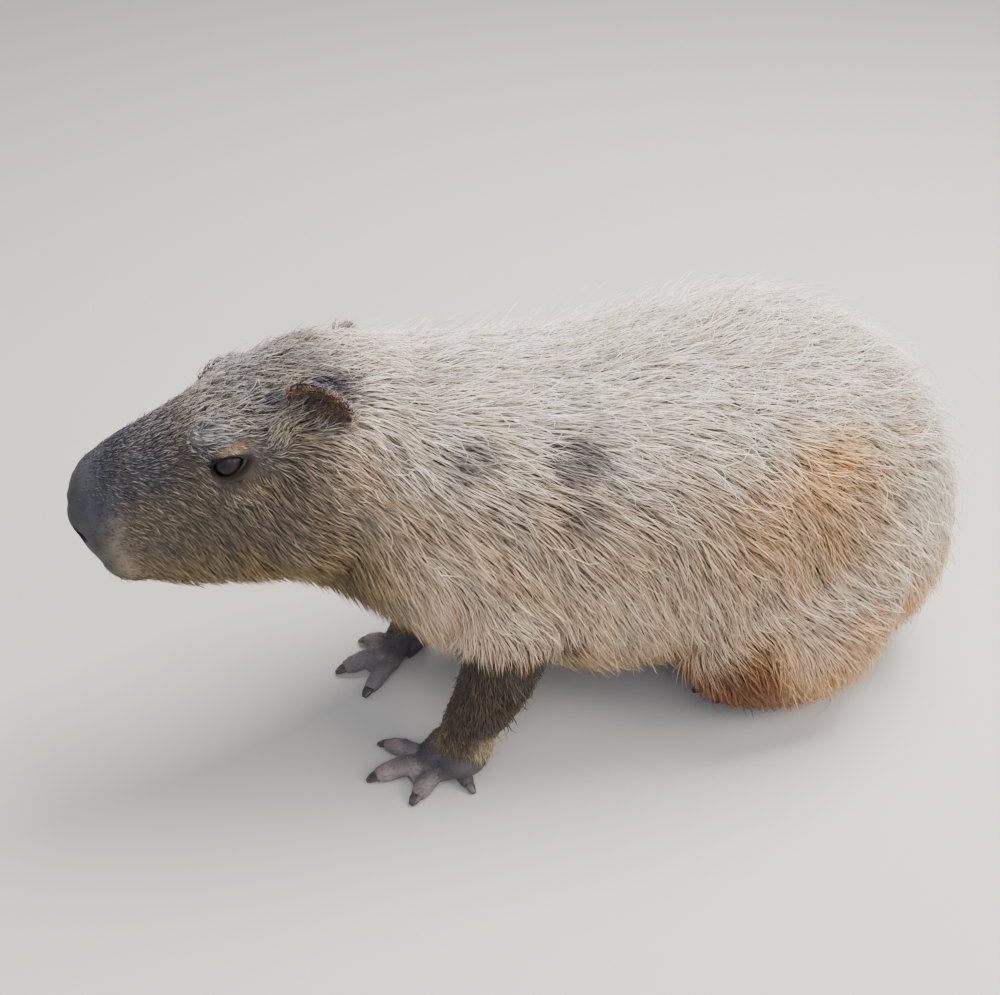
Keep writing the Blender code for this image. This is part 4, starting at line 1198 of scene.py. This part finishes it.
def hairPiece(name, hairs, picks, draw):
    path, facing = hairs["path"][picks], hairs["facing"][picks]
    count, rings = path.shape[:2]
    ahead = np.gradient(path, axis=1)
    across = unit(np.cross(facing, ahead))
    rise = unit(np.cross(ahead, across))
    thin = np.clip(hairs["length"][picks] * 1000 / 12, 0.55, 1.0) if hairs["kind"] == "face" else 1.0
    wide = coat["kinds"][hairs["kind"]]["width"] / 1000 * draw.uniform(0.7, 1.3, count) * thin
    corners = []
    for k in range(rings - 1):
        half = (wide * hairShapes[rings][k] / 2)[:, None]
        spot = path[:, k]
        corners += [spot - across[:, k] * half, spot + across[:, k] * half, spot + rise[:, k] * half * 1.1]
    points = np.stack([*corners, path[:, -1]], 1)
    perHair = points.shape[1]
    faces = []
    for k in range(rings - 2):
        for j in range(3):
            low, high = 3 * k + j, 3 * k + (j + 1) % 3
            faces.append((low, high, high + 3, low + 3))
    tip = perHair - 1
    faces += [(0, 2, 1)] + [(tip - 3 + j, tip - 3 + (j + 1) % 3, tip) for j in range(3)]
    sizes = np.array([len(face) for face in faces])
    pattern = np.array([i for face in faces for i in face])
    loops = ((np.arange(count) * perHair)[:, None] + pattern).ravel()
    mesh = bpy.data.meshes.new(name)
    mesh.vertices.add(count * perHair)
    placed = points.reshape(-1, 3) + np.array(modelShift)
    mesh.vertices.foreach_set("co", placed.astype(np.float32).ravel())
    mesh.loops.add(len(loops))
    mesh.loops.foreach_set("vertex_index", loops.astype(np.int32))
    mesh.polygons.add(count * len(sizes))
    starts = np.concatenate([[0], np.cumsum(np.tile(sizes, count))[:-1]])
    mesh.polygons.foreach_set("loop_start", starts.astype(np.int32))
    mesh.update(calc_edges=True)
    mesh.shade_smooth()
    tone = hairTones(hairs, picks, rings, draw)
    setColours(mesh, "hair tone", tone.reshape(-1, 3))
    spots = unwrap(hairs["roots"][picks])
    local = [(j / 2 - 0.5, k / (rings - 1) - 0.5) for k in range(rings - 1) for j in range(3)]
    local = np.array([*local, (0, 0.5)]) * coat["patch"]
    uvs = (spots[:, None, :] + local[None]).reshape(-1, 2)[loops]
    mesh.uv_layers.new(name="OFBake").data.foreach_set("uv", uvs.astype(np.float32).ravel())
    made = bpy.data.objects.new(name, mesh)
    bpy.context.scene.collection.objects.link(made)
    mesh.materials.append(materials["hair"])
    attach(made, "root")
    return made


def hairTones(hairs, picks, rings, draw):  # darker at the root, partly painted shade inside the coat, pale towards the tip
    roots = hairs["roots"][picks]
    how, tones = coat["kinds"][hairs["kind"]], coat["tones"]
    # Undercoat hairs are darkened with painted shade deep in the coat, top hairs lightened with painted
    # light
    tone = coatColours(roots, hairs["normals"][picks]) * how["shade"]
    light = draw.normal(1.0, tones["varies"], len(roots))
    kindOf = draw.random(len(roots))
    light = np.where(kindOf < tones["dark"], light * tones["darkBy"], light)
    light = np.where(kindOf > tones["pale"], light * how["glint"], light)
    tone = tone * np.clip(light, tones["least"], tones["most"])[:, None]
    along = np.repeat(np.linspace(0, 1, rings), [3] * (rings - 1) + [1])
    lightness = np.interp(along, *zip(*coat["along"]))
    return np.clip(tone[:, None, :] * lightness[None, :, None], 0.002, 0.92)


def bodyShare(points, normals, found):
    weight = ease(0.17, 0.28, found["along"]) * (1 - 0.35 * found["under"])
    weight = weight * (1 - 0.45 * found["top"]) * (1 - 0.8 * found["foot"])
    weight = weight * (1 - 0.5 * found["foreleg"] * fade(0.08, 0.13, points[:, 2]))
    return np.where(barePlaces(points, normals, found), 0, weight)


def underShare(points, normals, found):
    weight = ease(0.20, 0.32, found["along"]) * (1 - found["foot"]) * (1 - found["foreleg"])
    return np.where(barePlaces(points, normals, found), 0, weight)


def topShare(points, normals, found):
    weight = ease(0.12, 0.24, found["along"]) * (found["top"] + 0.12)
    weight = weight * (1 - found["foot"]) * (1 - found["foreleg"])
    weight = weight * (1 + ease(0.15, 0.30, points[:, 1]))
    return np.where(barePlaces(points, normals, found), 0, weight)


def faceShare(points, normals, found):
    fromNose = found["along"] - np.minimum(0, found["high"] + 0.05)
    weight = fade(0.22, 0.31, found["along"]) * ease(0.006, 0.05, fromNose) + 0.10 * (found["foot"] > 0.3)
    weight = weight + 1.0 * found["foreleg"] * (1 - found["foot"]) * fade(0.10, 0.15, points[:, 2])
    weight = weight + 2.0 * found["tuft"] + 1.2 * found["wrist"] + 2.0 * fade(0.026, 0.034, found["ear"])
    return np.where(barePlaces(points, normals, found), 0, weight)


def makeCoat():
    draw = np.random.default_rng(coat["seed"])
    kinds = {"under": underShare, "guard": bodyShare, "top": topShare, "face": faceShare}
    for kind, weigh in kinds.items():
        hairs = growHair(kind, weigh, draw)
        order = np.argsort(hairs["roots"][:, 1], kind="stable")
        triangles = 6 * coat["kinds"][kind]["rings"] - 8  # of one hair
        pieces = math.ceil(len(order) * triangles / coat["mostTriangles"])
        for i, picks in enumerate(np.array_split(order, pieces)):
            hairPiece(f"coat_{kind}_{i + 1}", hairs, picks, draw)
        print("capybara: coat", kind, len(order))


makeCoat()


# Eyes and claws
eyeLook = {  # degrees from the middle of the eye where each ring begins and ends
    "bulge": (0.0009, 20, 42),
    "ball": "#1d1613",
    "iris": ("#2c211b", 34, 46),
    # the blue-grey middle is a painted reflection of the sky
    "sky reflection": ("#23272d", 4, 34),
    "rim": ("#0d0a0a", 40, 52),
}


def makeEye(word, side):
    out, along, up = (np.array(axis) for axis in eyeAxes(side))
    middle = np.array(eyeMiddle(side))
    made = shapeObject(f"eyeball_{word}", [ballShape(middle, (eyeShape["radius"],) * 3, None, 64, 40)])
    points, normals = vertexArrays(made.data)
    aim = (points - middle) / eyeShape["radius"]
    facing = aim @ out
    away = np.degrees(np.arccos(np.clip(facing, -1, 1)))
    height, *ring = eyeLook["bulge"]
    bulge = height * fade(*ring, away)
    made.data.vertices.foreach_set("co", (points + normals * bulge[:, None]).astype(np.float32).ravel())
    spokes = waves(np.stack([np.arctan2(aim @ up, aim @ along) * 3, away * 0.02, away * 0], -1), 0.9, 31)
    # The painted sky reflection is a blue-grey patch in the middle of the eye
    reflectionAway = np.hypot((aim @ along) * 38, (aim @ up) * 55)  # wider along the slit than across it
    colour = np.tile(np.array(fromHex(eyeLook["ball"])), (len(points), 1))
    for name, share in (
        ("iris", fade(*eyeLook["iris"][1:], away) * (0.75 + 0.25 * spokes)),
        ("sky reflection", fade(*eyeLook["sky reflection"][1:], reflectionAway) * (0.75 + 0.2 * spokes)),
        ("rim", ease(*eyeLook["rim"][1:], away)),
    ):
        colour += (np.array(fromHex(eyeLook[name][0])) - colour) * np.clip(share, 0, 1)[:, None]
    setColours(made.data, "eye tone", colour)
    settle(made, "eye", "eye", f"eye_{word}")


def settle(made, material, slot, *nodes):
    made.data.transform(Matrix.Translation(modelShift))
    made.data.materials.clear()
    made.data.materials.append(materials[material])
    made.data.shade_smooth()
    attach(made, "root")
    if nodes:
        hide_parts(*nodes)


for word, side in sides.items():
    makeEye(word, side)
    for kind, foot in feet.items():
        for finger, toe in foot["toes"].items():
            name = f"{kind}_claw_{finger}_{word}"
            settle(shapeObject("horn_" + name, [clawTube(*toe, side)]), "horn", "claw", name)
flesh = ["head", "neck", "torso", "tail"]
for part in ("foreleg", "hindleg", "fore_foot", "hind_foot", "ear"):
    flesh += [f"{part}_{word}" for word in sides]
settle(skin, "skin", "bare_skin", *flesh)
print("capybara: eyes, claws and skin placed")


# Floor, light and camera
floorMesh = bpy.data.meshes.new("floor")
floorMesh.from_pydata([(-12, -12, 0), (12, -12, 0), (12, 12, 0), (-12, 12, 0)], [], [(0, 1, 2, 3)])
floor = bpy.data.objects.new("floor", floorMesh)
bpy.context.scene.collection.objects.link(floor)
floorMaterial, _, floorShader = newMaterial("matt studio paper")
floorShader.inputs["Base Color"].default_value = (*fromHex("#bfbdba"), 1)
floorShader.inputs["Roughness"].default_value = 0.9
floorMesh.materials.append(floorMaterial)

lights = {  # place, aim, size, watts and colour
    "overhead": ((-0.2, 0.9, 2.5), (0, 0, 0.2), 1.5, 190, "#fff7ee"),
    "rear": ((1.7, 1.9, 2.0), (0, 0.2, 0.2), 1.4, 75, "#fff4e6"),
    "side": ((2.0, -0.6, 2.5), (0, 0, 0.2), 1.8, 55, "#f4f6ff"),
}
for name, (place, aim, size, power, colour) in lights.items():
    data = bpy.data.lights.new(name, "AREA")
    data.energy = power
    data.size = size
    data.color = fromHex(colour)
    light = bpy.data.objects.new(name, data)
    light.location = place
    light.rotation_euler = (Vector(aim) - Vector(place)).to_track_quat("-Z", "Y").to_euler()
    bpy.context.scene.collection.objects.link(light)
world = bpy.data.worlds.new("soft room")
world.use_nodes = True
world.node_tree.nodes["Background"].inputs["Color"].default_value = (*fromHex("#e8eaee"), 1)
world.node_tree.nodes["Background"].inputs["Strength"].default_value = 0.5
bpy.context.scene.world = world

view = {"place": (0.8895, -0.174, 0.965), "azimuth": 73, "down": 37.5, "lens": 46.8}
cameraData = bpy.data.cameras.new("camera")
cameraData.lens = view["lens"]
cameraData.sensor_fit = "HORIZONTAL"
cameraData.sensor_width = 36
camera = bpy.data.objects.new("camera", cameraData)
camera.location = Vector(view["place"]) + modelShift
down, turned = math.radians(view["down"]), math.radians(90 - view["azimuth"])
ahead = Vector((-math.cos(turned) * math.cos(down), math.sin(turned) * math.cos(down), -math.sin(down)))
camera.rotation_euler = ahead.to_track_quat("-Z", "Y").to_euler()
bpy.context.scene.collection.objects.link(camera)
bpy.context.scene.camera = camera

print("capybara: ready")
